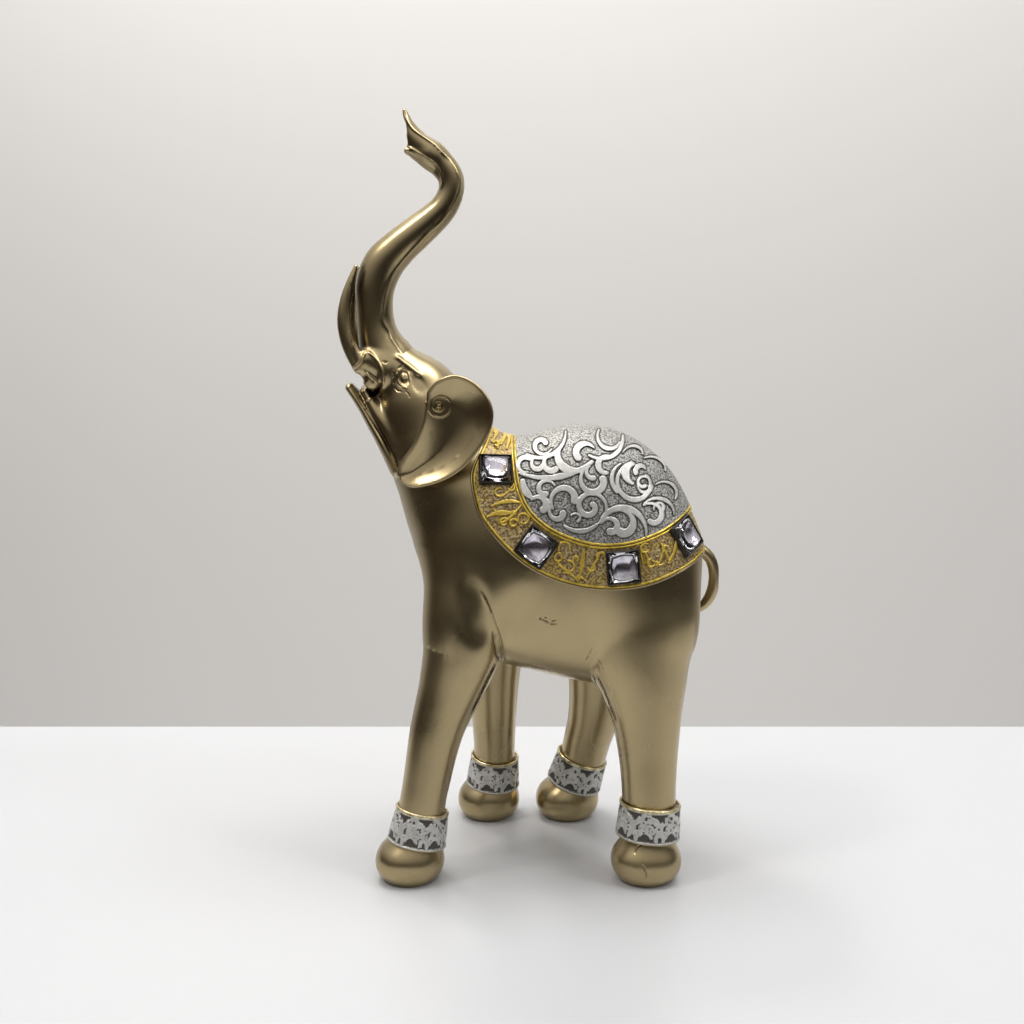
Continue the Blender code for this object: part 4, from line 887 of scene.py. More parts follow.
def bronze_lacquer():
    """Satin bronze lacquer on cast resin: soft gloss with fine metal flake under a clear coat, with painted
    shade: the colour darkens toward a dark bronze in creases and hollows, where less light reaches."""
    material, tree, place = new_material("satin bronze lacquer")
    tone = colours()
    hollow = add_node(tree, "ShaderNodeAttribute", attribute_name="hollow").outputs["Fac"]
    cloud = add_node(tree, "ShaderNodeTexNoise", {"Vector": place, "Scale": 33.0}).outputs["Fac"]
    flake = add_node(tree, "ShaderNodeTexNoise", {"Vector": place, "Scale": 2000.0,
                                                  "Detail": 3.0}).outputs["Fac"]
    clouded = add_node(tree, "ShaderNodeMapRange", {"Value": cloud, "From Min": 0.35, "From Max": 0.65})
    flaked = add_node(tree, "ShaderNodeMapRange", {"Value": flake, "From Min": 0.35, "From Max": 0.65,
                                                   "To Max": 0.2})
    # Painted shade: the hollow attribute, high in creases and hollows, mixes the bronze toward the dark
    # crease colour.
    deep = add_node(tree, "ShaderNodeMapRange", {"Value": hollow, "From Min": 0.15, "From Max": 0.85,
                                                 "To Max": 0.8})
    film = add_node(tree, "ShaderNodeMix", {"Factor": clouded.outputs[0], 6: shade(tone.bronze, 0.93),
                                            7: shade(tone.bronze, 1.05)}, data_type="RGBA")
    flecked = add_node(tree, "ShaderNodeMix", {"Factor": flaked.outputs[0], 6: film.outputs[2],
                                               7: shade(tone.bronze, 0.72)}, data_type="RGBA")
    base = add_node(tree, "ShaderNodeMix", {"Factor": deep.outputs[0], 6: flecked.outputs[2],
                                            7: shade(tone.bronze_crease_shade)}, data_type="RGBA")
    satin = add_node(tree, "ShaderNodeMapRange", {"Value": cloud, "From Min": 0.3, "From Max": 0.7,
                                                  "To Min": 0.26, "To Max": 0.32})
    grain = add_node(tree, "ShaderNodeBump", {"Height": flake, "Distance": 0.00002, "Strength": 0.3})
    shader = add_node(tree, "ShaderNodeBsdfPrincipled", {
        "Base Color": base.outputs[2], "Metallic": 1.0, "Roughness": satin.outputs[0],
        "Coat Weight": 0.25, "Coat Roughness": 0.18, "Normal": grain.outputs[0]})
    close_material(tree, shader)
    return material


def silver_leaf():
    """Silver leaf over relief, wiped with a dark wash that stays in the stippled ground and the pits."""
    material, tree, place = new_material("silver leaf with dark wash")
    tone = colours()
    relief = add_node(tree, "ShaderNodeAttribute", attribute_name="relief").outputs["Fac"]
    stipple = add_node(tree, "ShaderNodeTexNoise", {"Vector": place, "Scale": 1450.0,
                                                    "Roughness": 0.6}).outputs["Fac"]
    rub = add_node(tree, "ShaderNodeTexNoise", {"Vector": place, "Scale": 420.0,
                                                "Detail": 3.0}).outputs["Fac"]
    dots = add_node(tree, "ShaderNodeMapRange", {"Value": stipple, "From Min": 0.42, "From Max": 0.56})
    worn = add_node(tree, "ShaderNodeMapRange", {"Value": rub, "From Min": 0.35, "From Max": 0.65})
    high = add_node(tree, "ShaderNodeMapRange", {"Value": relief, "From Min": 0.40, "From Max": 0.66})
    pit = add_node(tree, "ShaderNodeMapRange", {"Value": relief, "From Min": -0.30, "From Max": -0.04,
                                                "To Min": 1.0, "To Max": 0.0})
    ground = add_node(tree, "ShaderNodeMix", {"Factor": dots.outputs[0], 6: shade(tone.silver_ground, 1.4),
                                              7: shade(tone.silver, 0.56)}, data_type="RGBA")
    top = add_node(tree, "ShaderNodeMix", {"Factor": worn.outputs[0], 6: shade(tone.silver, 0.64),
                                           7: shade(tone.silver, 0.80)}, data_type="RGBA")
    leaf = add_node(tree, "ShaderNodeMix", {"Factor": high.outputs[0], 6: ground.outputs[2],
                                            7: top.outputs[2]}, data_type="RGBA")
    base = add_node(tree, "ShaderNodeMix", {"Factor": pit.outputs[0], 6: leaf.outputs[2],
                                            7: shade(tone.silver_ground, 1.2)}, data_type="RGBA")
    gloss = add_node(tree, "ShaderNodeMapRange", {"Value": relief, "From Min": 0.3, "From Max": 0.7,
                                                  "To Min": 0.55, "To Max": 0.36})
    grain = add_node(tree, "ShaderNodeBump", {"Height": stipple, "Distance": 0.0001, "Strength": 0.4})
    shader = add_node(tree, "ShaderNodeBsdfPrincipled", {
        "Base Color": base.outputs[2], "Metallic": 0.40, "Roughness": gloss.outputs[0],
        "Normal": grain.outputs[0]})
    close_material(tree, shader)
    return material


def border_finish():
    """Pebbled ground of brown and pale bronze with gold paint on the raised wires and touches of gold."""
    material, tree, place = new_material("gold wires on a pebbled bronze ground")
    tone = colours()
    relief = add_node(tree, "ShaderNodeAttribute", attribute_name="relief").outputs["Fac"]
    pebble = add_node(tree, "ShaderNodeTexNoise", {"Vector": place, "Scale": 1200.0,
                                                   "Roughness": 0.6}).outputs["Fac"]
    drift = add_node(tree, "ShaderNodeTexNoise", {"Vector": place, "Scale": 150.0}).outputs["Fac"]
    dots = add_node(tree, "ShaderNodeMapRange", {"Value": pebble, "From Min": 0.43, "From Max": 0.57})
    touch = add_node(tree, "ShaderNodeMapRange", {"Value": drift, "From Min": 0.46, "From Max": 0.60,
                                                  "To Max": 0.65})
    high = add_node(tree, "ShaderNodeMapRange", {"Value": relief, "From Min": 0.30, "From Max": 0.55})
    pale = add_node(tree, "ShaderNodeMix", {"Factor": touch.outputs[0], 6: shade(tone.border_pale),
                                            7: shade(tone.gold, 0.85)}, data_type="RGBA")
    ground = add_node(tree, "ShaderNodeMix", {"Factor": dots.outputs[0], 6: shade(tone.border),
                                              7: pale.outputs[2]}, data_type="RGBA")
    wire = add_node(tree, "ShaderNodeMix", {"Factor": dots.outputs[0], 6: shade(tone.gold, 0.88),
                                            7: shade(tone.gold, 1.15)}, data_type="RGBA")
    base = add_node(tree, "ShaderNodeMix", {"Factor": high.outputs[0], 6: ground.outputs[2],
                                            7: wire.outputs[2]}, data_type="RGBA")
    gloss = add_node(tree, "ShaderNodeMapRange", {"Value": relief, "From Min": 0.3, "From Max": 0.7,
                                                  "To Min": 0.5, "To Max": 0.34})
    grain = add_node(tree, "ShaderNodeBump", {"Height": pebble, "Distance": 0.00012, "Strength": 0.5})
    shader = add_node(tree, "ShaderNodeBsdfPrincipled", {
        "Base Color": base.outputs[2], "Metallic": 0.40, "Roughness": gloss.outputs[0],
        "Normal": grain.outputs[0]})
    close_material(tree, shader)
    return material


def rubbed_paint(name, low, high, metallic, smoothest, roughest):
    """Brushed or rubbed paint that wears from one colour to another in blotches two millimetres wide."""
    material, tree, place = new_material(name)
    worn = add_node(tree, "ShaderNodeTexNoise", {"Vector": place, "Scale": 450.0, "Detail": 3.0,
                                                 "Roughness": 0.6}).outputs["Fac"]
    share = add_node(tree, "ShaderNodeMapRange", {"Value": worn, "From Min": 0.32, "From Max": 0.62})
    base = add_node(tree, "ShaderNodeMix", {"Factor": share.outputs[0], 6: low, 7: high}, data_type="RGBA")
    gloss = add_node(tree, "ShaderNodeMapRange", {"Value": worn, "From Min": 0.3, "From Max": 0.7,
                                                  "To Min": roughest, "To Max": smoothest})
    grain = add_node(tree, "ShaderNodeBump", {"Height": worn, "Distance": 0.00005, "Strength": 0.4})
    shader = add_node(tree, "ShaderNodeBsdfPrincipled", {
        "Base Color": base.outputs[2], "Metallic": metallic, "Roughness": gloss.outputs[0],
        "Normal": grain.outputs[0]})
    close_material(tree, shader)
    return material


def gold_paint():
    """Gold paint brushed over a cord, worn to dark bronze in places."""
    tone = colours().gold
    return rubbed_paint("brushed gold paint", shade(tone, 0.55), shade(tone, 1.15), 0.7, 0.3, 0.42)


def setting_paint():
    """Black-brown paint in and around the settings, a little worn in blotches."""
    return rubbed_paint("black-brown setting paint", shade(colours().setting), shade(colours().setting, 3.0),
                        0.35, 0.42, 0.55)


def anklet_rim():
    """Pale gold rubbed over silver on the anklets' top rims."""
    return rubbed_paint("pale gold rub", linear("#9a8a5c"), linear("#e6dcb8"), 0.85, 0.26, 0.38)


def stone_foil():
    """Bright mirror foil behind the stones, slightly crumpled."""
    return rubbed_paint("stone foil", linear("#d6d2dc"), linear("#fdfcfe"), 1.0, 0.16, 0.24)


def clear_stone():
    """Clear acrylic stone with polished facets, see-through to the foil."""
    material, tree, place = new_material("clear cut acrylic")
    haze = add_node(tree, "ShaderNodeTexNoise", {"Vector": place, "Scale": 330.0}).outputs["Fac"]
    tint = add_node(tree, "ShaderNodeMix", {"Factor": haze, 6: shade(colours().stone), 7: linear("#ffffff")},
                    data_type="RGBA")
    shader = add_node(tree, "ShaderNodeBsdfPrincipled", {
        "Base Color": tint.outputs[2], "Roughness": 0.02, "IOR": 1.50, "Transmission Weight": 1.0})
    close_material(tree, shader)
    return material


def to_frame(places):
    """Units of the figure to metres in the frame that the solid has."""
    return (np.asarray(places) - MIDDLE) * UNIT


def mesh_object(name, places, faces, material, smooth=True):
    """Object from points in units of the figure and faces with the same number of corners."""
    mesh = bpy.data.meshes.new(name)
    places = np.asarray(places, float)
    faces = np.asarray(faces, np.int32)
    count, corners = faces.shape
    mesh.vertices.add(len(places))
    mesh.vertices.foreach_set("co", to_frame(places).ravel().astype(np.float32))
    mesh.loops.add(count * corners)
    mesh.loops.foreach_set("vertex_index", faces.ravel())
    mesh.polygons.add(count)
    mesh.polygons.foreach_set("loop_start", np.arange(count, dtype=np.int32) * corners)
    mesh.update(calc_edges=True)
    mesh.validate()
    if smooth:
        mesh.shade_smooth()
    thing = bpy.data.objects.new(name, mesh)
    bpy.context.scene.collection.objects.link(thing)
    mesh.materials.append(material)
    return thing


def read_places(mesh):
    """A mesh's points in units of the figure."""
    places = np.empty(3 * len(mesh.vertices), np.float32)
    mesh.vertices.foreach_get("co", places)
    return places.reshape(-1, 3).astype(float) / UNIT + MIDDLE


def collapse(thing, wanted):
    """Collapse the least needed edges until the wanted number of triangles is left."""
    mesh = thing.data
    now = sum(len(face.vertices) - 2 for face in mesh.polygons)
    if now <= wanted:
        return
    decimate = thing.modifiers.new("Fewer faces", "DECIMATE")
    decimate.ratio = wanted / now
    graph = bpy.context.evaluated_depsgraph_get()
    fewer = bpy.data.meshes.new_from_object(thing.evaluated_get(graph))
    thing.modifiers.clear()
    thing.data = fewer
    bpy.data.meshes.remove(mesh)


def gradient(shape, places, reach=0.06):
    """Slope of a distance by forward differences, and the distance itself."""
    level = shape(places)
    slope = np.empty_like(places)
    for i in range(3):
        shifted = places.copy()
        shifted[:, i] += reach
        slope[:, i] = (shape(shifted) - level) / reach
    return slope, level


def settle_on(thing, shape):
    """Move the mesh's points onto the surface where the distance is nought.

    One Newton step: each point moves by minus its distance along the slope, divided by the slope's
    squared length, and no further than 0.4 of a unit.
    """
    mesh = thing.data
    places = read_places(mesh)
    slope, level = gradient(shape, places)
    size = np.maximum((slope ** 2).sum(axis=1), 0.2)
    move = -level[:, None] * slope / size[:, None]
    length = np.sqrt((move ** 2).sum(axis=1))
    places = places + move * np.minimum(1.0, 0.4 / np.maximum(length, 1e-9))[:, None]
    mesh.vertices.foreach_set("co", to_frame(places).ravel().astype(np.float32))
    mesh.update()
    return places


def smooth_normals(mesh, shape, places, reach=0.08):
    """Use the slope of the distance as the normals, so that reflections run evenly over the facets."""
    slope = slope_of(shape, places, reach)
    mesh.normals_split_custom_set_from_vertices(slope.astype(np.float32))
    return slope


def set_attribute(mesh, name, values):
    """Store one number for each point."""
    layer = mesh.attributes.new(name, "FLOAT", "POINT")
    layer.data.foreach_set("value", np.asarray(values, np.float32))


class FlatMap:
    """A table over a flat grid that is read back between its points by linear shares."""

    def __init__(self, low, step, table):
        self.low = low
        self.step = step
        self.table = table

    def __call__(self, x, z):
        table = self.table
        u = np.clip((x - self.low[0]) / self.step, 0.0, table.shape[0] - 1.001)
        v = np.clip((z - self.low[1]) / self.step, 0.0, table.shape[1] - 1.001)
        i = u.astype(int)
        j = v.astype(int)
        s = u - i
        t = v - j
        return ((table[i, j] * (1 - s) + table[i + 1, j] * s) * (1 - t)
                + (table[i, j + 1] * (1 - s) + table[i + 1, j + 1] * s) * t)


def outline_map(corners, step=0.5):
    """Outline distance on a side view grid."""
    low = np.array((-90.0, -10.0))
    gx, gz = np.meshgrid(np.arange(low[0], 110.0, step), np.arange(low[1], 320.0, step), indexing="ij")
    return FlatMap(low, step, outline_distance(gx, gz, corners))


EAR_MAP = outline_map(smooth_outline(EAR_OUTLINE))
OUTER_MAP = outline_map(cloth_outline(CLOTH_OUTER))
INNER_MAP = outline_map(cloth_outline(CLOTH_INNER))


def arc_ribbon(row, spacing=0.7):
    """Points and widths along an arc whose radius changes evenly with its angle."""
    x, z, first, last, begin, end = row[:6]
    length = abs(math.radians(end - begin)) * 0.5 * (first + last)
    share = np.linspace(0.0, 1.0, max(4, int(length / spacing) + 1))
    angle = np.radians(begin + (end - begin) * share)
    radius = first + (last - first) * share
    return x + radius * np.cos(angle), z + radius * np.sin(angle), np.interp(share, (0.0, 0.55, 1.0), row[6:])


def stroke_ribbon(row, spacing=0.7):
    """Points and widths along a parabola through a start, a middle and an end."""
    ends = np.array(row[:6]).reshape(3, 2)
    length = np.linalg.norm(np.diff(ends, axis=0), axis=1).sum()
    share = np.linspace(0.0, 1.0, max(4, int(length / spacing) + 1))
    t = share[:, None]
    places = (ends[0] * (1.0 - t) * (1.0 - 2.0 * t) + ends[1] * 4.0 * t * (1.0 - t)
              + ends[2] * t * (2.0 * t - 1.0))
    return places[:, 0], places[:, 1], np.interp(share, (0.0, 0.5, 1.0), row[6:])


def ribbon_map(ribbons, low, high, step):
    """Distance to the nearest ribbon's edge on a flat grid, negative inside a ribbon.

    The distance to a ribbon is the least distance to its middle line less half its width there.
    """
    xs = np.arange(low[0], high[0], step)
    zs = np.arange(low[1], high[1], step)
    table = np.full((len(xs), len(zs)), 3.0)
    for across, up, width in ribbons:
        reach = 0.5 * width.max() + 2.0
        i, j = np.searchsorted(xs, (across.min() - reach, across.max() + reach))
        k, m = np.searchsorted(zs, (up.min() - reach, up.max() + reach))
        if i == j or k == m:
            continue
        gx, gz = np.meshgrid(xs[i:j], zs[k:m], indexing="ij")
        part = table[i:j, k:m]
        for n in range(len(across) - 1):
            dx = across[n + 1] - across[n]
            dz = up[n + 1] - up[n]
            share = ((gx - across[n]) * dx + (gz - up[n]) * dz) / (dx * dx + dz * dz + 1e-12)
            share = np.clip(share, 0.0, 1.0)
            away = np.hypot(gx - across[n] - share * dx, gz - up[n] - share * dz)
            np.minimum(part, away - 0.5 * (width[n] + (width[n + 1] - width[n]) * share), out=part)
    return FlatMap(np.array(low, float), step, table)


ANKLET_MAP = ribbon_map([arc_ribbon(row, 0.4) for row in ANKLET_SCROLLS], (-0.5, -0.5), (10.5, 10.5), 0.06)


def speckle_map(seed, low, high, cell):
    """Even random heights from minus one to one on a flat grid with the given cell."""
    counts = [int((high[i] - low[i]) / cell) + 2 for i in range(2)]
    return FlatMap(np.array(low, float), cell, np.random.default_rng(seed).uniform(-1.0, 1.0, counts))


ANKLET_PITS = speckle_map(3, (-1.0, -1.0), (85.0, 16.0), 0.65)
VIEW_LOW = (-24.0, -36.0)
VIEW_HIGH = (74.0, 44.0)


def view_place(points):
    """Where points are seen on the view plane; the right side uses its mirror image on the left."""
    cos = math.cos(VIEW_SLOPE)
    sin = math.sin(VIEW_SLOPE)
    back = -np.abs(points[:, 1]) + VIEW_DISTANCE
    rise = points[:, 2] - VIEW_HEIGHT
    depth = back * cos - rise * sin
    scale = VIEW_DISTANCE / depth
    return points[:, 0] * scale, (rise * cos + back * sin) * scale


def smooth_step(value, low, high):
    """Nought below the low value, one above the high one and an even S between them."""
    share = np.clip((value - low) / (high - low), 0.0, 1.0)
    return share * share * (3.0 - 2.0 * share)


class Relief:
    """Relief laid over the cloth from ribbons and speckle on the view plane."""

    def __init__(self, ribbons, height, speckle, seed):
        self.edge = ribbon_map(ribbons, VIEW_LOW, VIEW_HIGH, 0.14)
        self.speckle = speckle_map(seed, VIEW_LOW, VIEW_HIGH, 0.55)
        self.height = height
        self.depth = speckle

    def __call__(self, points):
        """Height in units, and a tone: one on ribbons, nought on the ground, less in grooves."""
        across, up = view_place(points)
        edge = self.edge(across, up)
        raised = 1.0 - smooth_step(edge, -0.22, 0.16)
        groove = np.exp(-((edge - 0.30) / 0.17) ** 2)
        speckle = self.speckle(across, up)
        height = self.height * raised - 0.22 * groove + self.depth * speckle * (1.0 - raised) * (1.0 - groove)
        return height, raised - 0.6 * groove


def net(shape, low, high, step, levels=2):
    """Mesh of the surface where the distance is nought, refined level by level near that surface."""
    low = np.array(low, float)
    spacing = step * 2 ** levels
    counts = np.ceil((np.array(high) - low) / spacing).astype(int) + 1
    axes = [low[i] + spacing * np.arange(counts[i]) for i in range(3)]
    grid = np.stack(np.meshgrid(*axes, indexing="ij"), axis=-1)
    values = shape(grid.reshape(-1, 3)).reshape(grid.shape[:3]).astype(np.float32)
    for _ in range(levels):
        spacing *= 0.5
        for axis in range(3):
            values = doubled(values, axis)
        near = np.argwhere(np.abs(values) < 2.7 * spacing)
        found = np.empty(len(near), np.float32)
        for start in range(0, len(near), 300000):
            found[start:start + 300000] = shape(low + near[start:start + 300000] * spacing)
        values[tuple(near.T)] = found
    return cells_to_mesh(values, low, step)


def doubled(table, axis):
    """Put the mean of two neighbours between them along one axis."""
    table = np.moveaxis(table, axis, 0)
    result = np.empty((2 * len(table) - 1,) + table.shape[1:], np.float32)
    result[0::2] = table
    result[1::2] = 0.5 * (table[:-1] + table[1:])
    return np.moveaxis(result, 0, axis)


def bare(points):
    """Distance to the figure without its cloth."""
    return figure(points, hide(points))


def carving_map(lines, spots, low, high, step=0.15):
    """Sum of the heights of carved lines and spots on a flat grid.

    Across a line the height falls as exp(-(distance / softness) ** 2), and it fades at the ends. Over
    a spot it falls as exp(-r ** 4), where r is the distance from its middle in half widths.
    """
    xs = np.arange(low[0], high[0], step)
    zs = np.arange(low[1], high[1], step)
    table = np.zeros((len(xs), len(zs)))
    for height, softness, corners in lines:
        path = resample(corners, 4) if len(corners) > 2 else np.array(corners)
        i, j = np.searchsorted(xs, (path[:, 0].min() - 3.0 * softness, path[:, 0].max() + 3.0 * softness))
        k, m = np.searchsorted(zs, (path[:, 1].min() - 3.0 * softness, path[:, 1].max() + 3.0 * softness))
        gx, gz = np.meshgrid(xs[i:j], zs[k:m], indexing="ij")
        most = np.zeros(gx.shape)
        fade = smooth_step(0.5 - np.abs(np.linspace(-0.5, 0.5, len(path))), -0.04, 0.16)
        for n in range(len(path) - 1):
            start = path[n]
            edge = path[n + 1] - start
            share = np.clip(((gx - start[0]) * edge[0] + (gz - start[1]) * edge[1]) / (edge @ edge), 0.0, 1.0)
            away = (gx - start[0] - share * edge[0]) ** 2 + (gz - start[1] - share * edge[1]) ** 2
            strength = fade[n] + (fade[n + 1] - fade[n]) * share
            most = np.maximum(most, np.exp(-away / softness ** 2) * strength)
        table[i:j, k:m] += height * most
    gx, gz = np.meshgrid(xs, zs, indexing="ij")
    for height, x, z, first, second, tilt in spots:
        cos = math.cos(math.radians(tilt))
        sin = math.sin(math.radians(tilt))
        along = ((gx - x) * cos + (gz - z) * sin) / first
        across = ((gz - z) * cos - (gx - x) * sin) / second
        table += height * np.exp(-(along ** 2 + across ** 2) ** 2)
    return FlatMap(np.array(low, float), step, table)


HEAD_CARVING = carving_map(HEAD_LINES, HEAD_SPOTS, (-74.0, 8.0), (-8.0, 168.0))
FLANK_CARVING = carving_map(FLANK_LINES, FLANK_SPOTS, (-40.0, -156.0), (66.0, -4.0))


def carved(points):
    """Distance to the figure with its carving, which fades out towards the middle plane."""
    level = bare(points)
    close = np.abs(level) < 3.0
    near = points[close]
    across, up = view_place(near)
    height = HEAD_CARVING(across, up) + np.where(near[:, 1] < 0.0, FLANK_CARVING(across, up), 0.0)
    level[close] -= height * smooth_step(np.abs(near[:, 1]), 0.5, 3.5)
    return level


def refine(thing, spots):
    """Cut each triangle near the given spots (centre, radius) into four or more."""
    form = bmesh.new()
    form.from_mesh(thing.data)
    for centre, radius in spots:
        middle = to_frame(np.array(centre))
        reach = radius * UNIT
        edges = [edge for edge in form.edges
                 if (edge.verts[0].co - mathutils.Vector(middle)).length < reach
                 and (edge.verts[1].co - mathutils.Vector(middle)).length < reach]
        bmesh.ops.subdivide_edges(form, edges=edges, cuts=1, use_grid_fill=True)
    bmesh.ops.triangulate(form, faces=form.faces)
    form.to_mesh(thing.data)
    form.free()


def ride(thing):
    """The piece rides on the only body."""
    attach(thing, "root")
    return thing


class STATUE_OT_stage(bpy.types.Operator):
    """Table, wall, soft lights and the camera at the photograph's place."""

    bl_idname = "statue.stage"
    bl_label = "Table, lights and camera"

    def execute(self, context):
        context.scene.view_settings.view_transform = "Standard"
        floor_and_wall()
        lights()
        camera()
        return {"FINISHED"}


def slab(name, low, high, material):
    """Box-shaped stage piece between two corners in metres."""
    corners = [(x, y, z) for x in (low[0], high[0]) for y in (low[1], high[1]) for z in (low[2], high[2])]
    faces = [(0, 1, 3, 2), (4, 6, 7, 5), (0, 4, 5, 1), (2, 3, 7, 6), (0, 2, 6, 4), (1, 5, 7, 3)]
    mesh = bpy.data.meshes.new(name)
    mesh.from_pydata(corners, [], faces)
    mesh.materials.append(material)
    thing = bpy.data.objects.new(name, mesh)
    bpy.context.scene.collection.objects.link(thing)


def matt_paint(name, colour, roughness):
    """Matt paint with faint broad clouds, as on a wall or a painted board."""
    material, tree, place = new_material(name)
    cloud = add_node(tree, "ShaderNodeTexNoise", {"Vector": place, "Scale": 4.0}).outputs["Fac"]
    base = add_node(tree, "ShaderNodeMix", {"Factor": cloud, 6: shade(colour, 0.98), 7: shade(colour)},
                    data_type="RGBA")
    shader = add_node(tree, "ShaderNodeBsdfPrincipled", {"Base Color": base.outputs[2],
                                                         "Roughness": roughness})
    close_material(tree, shader)
    return material


def floor_and_wall():
    """White table that ends 145 mm behind the statue's middle, and the pale wall a metre behind it."""
    tone = colours()
    slab("table_top", *TABLE_TOP, matt_paint("white table top", tone.table, 0.35))
    slab("wall", *WALL, matt_paint("pale wall paint", tone.wall, 0.7))


def soft_light(name, place, aim, width, height, power, code):
    """Rectangular area light that faces a point."""
    data = bpy.data.lights.new(name, "AREA")
    data.shape = "RECTANGLE"
    data.size = width
    data.size_y = height
    data.energy = power
    data.color = linear(code)[:3]
    light = bpy.data.objects.new(name, data)
    light.location = place
    ahead = mathutils.Vector(aim) - mathutils.Vector(place)
    light.rotation_euler = ahead.to_track_quat("-Z", "Y").to_euler()
    bpy.context.scene.collection.objects.link(light)


def lights():
    """Dim room in front, bright ceiling, lamps for the photograph's three faint shadows and its wall."""
    world = bpy.data.worlds.new("room")
    bpy.context.scene.world = world
    world.use_nodes = True
    tree = world.node_tree
    tree.nodes.clear()
    place = add_node(tree, "ShaderNodeTexCoord").outputs["Generated"]
    aim = add_node(tree, "ShaderNodeSeparateXYZ", {0: place})
    spans = (("Y", 0.20, 0.85), ("Z", 0.15, 0.65), ("X", -0.75, 0.35))
    behind, above, right = [
        add_node(tree, "ShaderNodeMapRange", {"Value": aim.outputs[axis], "From Min": low, "From Max": high})
        for axis, low, high in spans]
    front = add_node(tree, "ShaderNodeMix", {"Factor": right.outputs[0], 6: linear("#3b3430"),
                                             7: linear("#1d1a1a")}, data_type="RGBA")
    level = add_node(tree, "ShaderNodeMix", {"Factor": behind.outputs[0], 6: front.outputs[2],
                                             7: linear("#dcdad8")}, data_type="RGBA")
    colour = add_node(tree, "ShaderNodeMix", {"Factor": above.outputs[0], 6: level.outputs[2],
                                              7: linear("#eceae8")}, data_type="RGBA")
    background = add_node(tree, "ShaderNodeBackground", {"Color": colour.outputs[2], "Strength": 0.9})
    add_node(tree, "ShaderNodeOutputWorld", {"Surface": background.outputs[0]})
    for name, row in LAMPS.items():
        soft_light(name, *row)


def camera():
    """Camera at the photograph's place: a little over the forehead, looking down by the view's slope."""
    data = bpy.data.cameras.new("camera")
    data.sensor_width = SENSOR
    data.lens = LENS
    data.clip_start = 0.01
    data.clip_end = 20.0
    thing = bpy.data.objects.new("camera", data)
    thing.location = to_frame((0.0, -VIEW_DISTANCE, VIEW_HEIGHT))
    thing.rotation_euler = (0.5 * math.pi - VIEW_SLOPE, 0.0, 0.0)
    bpy.context.scene.collection.objects.link(thing)
    bpy.context.scene.camera = thing


class STATUE_OT_casting(bpy.types.Operator):
    """The cast elephant, its skin read from the same limbs as the solid and carved finer."""

    bl_idname = "statue.casting"
    bl_label = "Cast elephant"

    def execute(self, context):
        step = grid_step(sizes().body_grid / UNIT)
        places, quads = net(carved, *CASTING_BOX, step)
        thing = mesh_object("elephant_casting", places, quads, bronze_lacquer())
        collapse(thing, CASTING_TRIANGLES)
        refine(thing, DETAIL_SPOTS)
        places = settle_on(thing, carved)
        slope = smooth_normals(thing.data, carved, places)
        # Painted shade: the hollow attribute grows where the point 2.5 units out along the normal is still
        # close to the skin, as in creases, and darkens the bronze there.
        ahead = carved(places + 2.5 * slope)
        set_attribute(thing.data, "hollow", 1.0 - np.clip(ahead / 2.5, 0.0, 1.0))
        keep_in_box(thing)
        ride(thing)
        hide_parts("elephant")
        return {"FINISHED"}


def keep_in_box(thing):
    """Hold every point inside the solid's box, with the soles flat on the table."""
    mesh = thing.data
    places = np.empty(3 * len(mesh.vertices), np.float32)
    mesh.vertices.foreach_get("co", places)
    places = np.clip(places.reshape(-1, 3), CAD_BOX[0], CAD_BOX[1])
    mesh.vertices.foreach_set("co", places.ravel().astype(np.float32))
    mesh.update()


def panel_region(points):
    """Distance to the silver panel's outline in the side view."""
    return INNER_MAP(points[:, 0], points[:, 2])


def border_region(points):
    """Distance to the border's outline in the side view, less the square pockets of the stones."""
    region = np.maximum(OUTER_MAP(points[:, 0], points[:, 2]), -INNER_MAP(points[:, 0], points[:, 2]) - 0.8)
    left = points.copy()
    left[:, 1] = -np.abs(left[:, 1])
    pocket = (0.5 * sizes().gem + sizes().clearance + 0.5 * sizes().wall) / UNIT
    for centre, along, across, outward in gem_frames():
        offset = left - centre
        square = np.maximum(np.abs(offset @ along), np.abs(offset @ across)) - pocket
        region = np.maximum(region, -np.maximum(square, np.abs(offset @ outward) - 5.0))
    return region


def cloth_piece(name, inside, level, relief, material, wanted):
    """Closed sheet that starts at 0.35 of its level over the skin and ends at its level plus its relief."""
    def shape(points):
        skin = hide(points)
        height = relief(points)[0]
        return np.maximum(np.maximum(inside(points), skin - level - height), 0.35 * level - skin)

    step = grid_step(sizes().cloth_grid / UNIT)
    places, quads = net(shape, *CLOTH_BOX, step)
    thing = mesh_object(name, places, quads, material)
    collapse(thing, wanted)
    places = settle_on(thing, shape)
    smooth_normals(thing.data, shape, places)
    set_attribute(thing.data, "relief", relief(places)[1])
    return ride(thing)


class STATUE_OT_panel(bpy.types.Operator):
    """Silver panel of the saddle cloth with its scrolls."""

    bl_idname = "statue.panel"
    bl_label = "Silver panel"

    def execute(self, context):
        relief = Relief([arc_ribbon(row) for row in SCROLLS], sizes().scroll / UNIT, 0.07, 5)
        level = (sizes().cloth + sizes().panel) / UNIT
        cloth_piece("cloth_panel", panel_region, level, relief, silver_leaf(), PANEL_TRIANGLES)
        return {"FINISHED"}


class STATUE_OT_border(bpy.types.Operator):
    """Border of the saddle cloth with its gold wires."""

    bl_idname = "statue.border"
    bl_label = "Cloth border"

    def execute(self, context):
        ribbons = [arc_ribbon(row) for row in WIRES] + [stroke_ribbon(row) for row in LEAVES]
        relief = Relief(ribbons, sizes().filigree / UNIT, 0.14, 9)
        level = sizes().cloth / UNIT
        cloth_piece("cloth_border", border_region, level, relief, border_finish(), BORDER_TRIANGLES)
        return {"FINISHED"}


def tube_section(radius, corners, side=0.0, lift=0.0):
    """Round section of each station's radius, set aside and up from the path."""
    turn = 2.0 * math.pi * np.arange(corners) / corners
    radius = np.asarray(radius, float).reshape(-1, 1)
    return np.stack((side + radius * np.cos(turn), lift + radius * np.sin(turn)), axis=2)


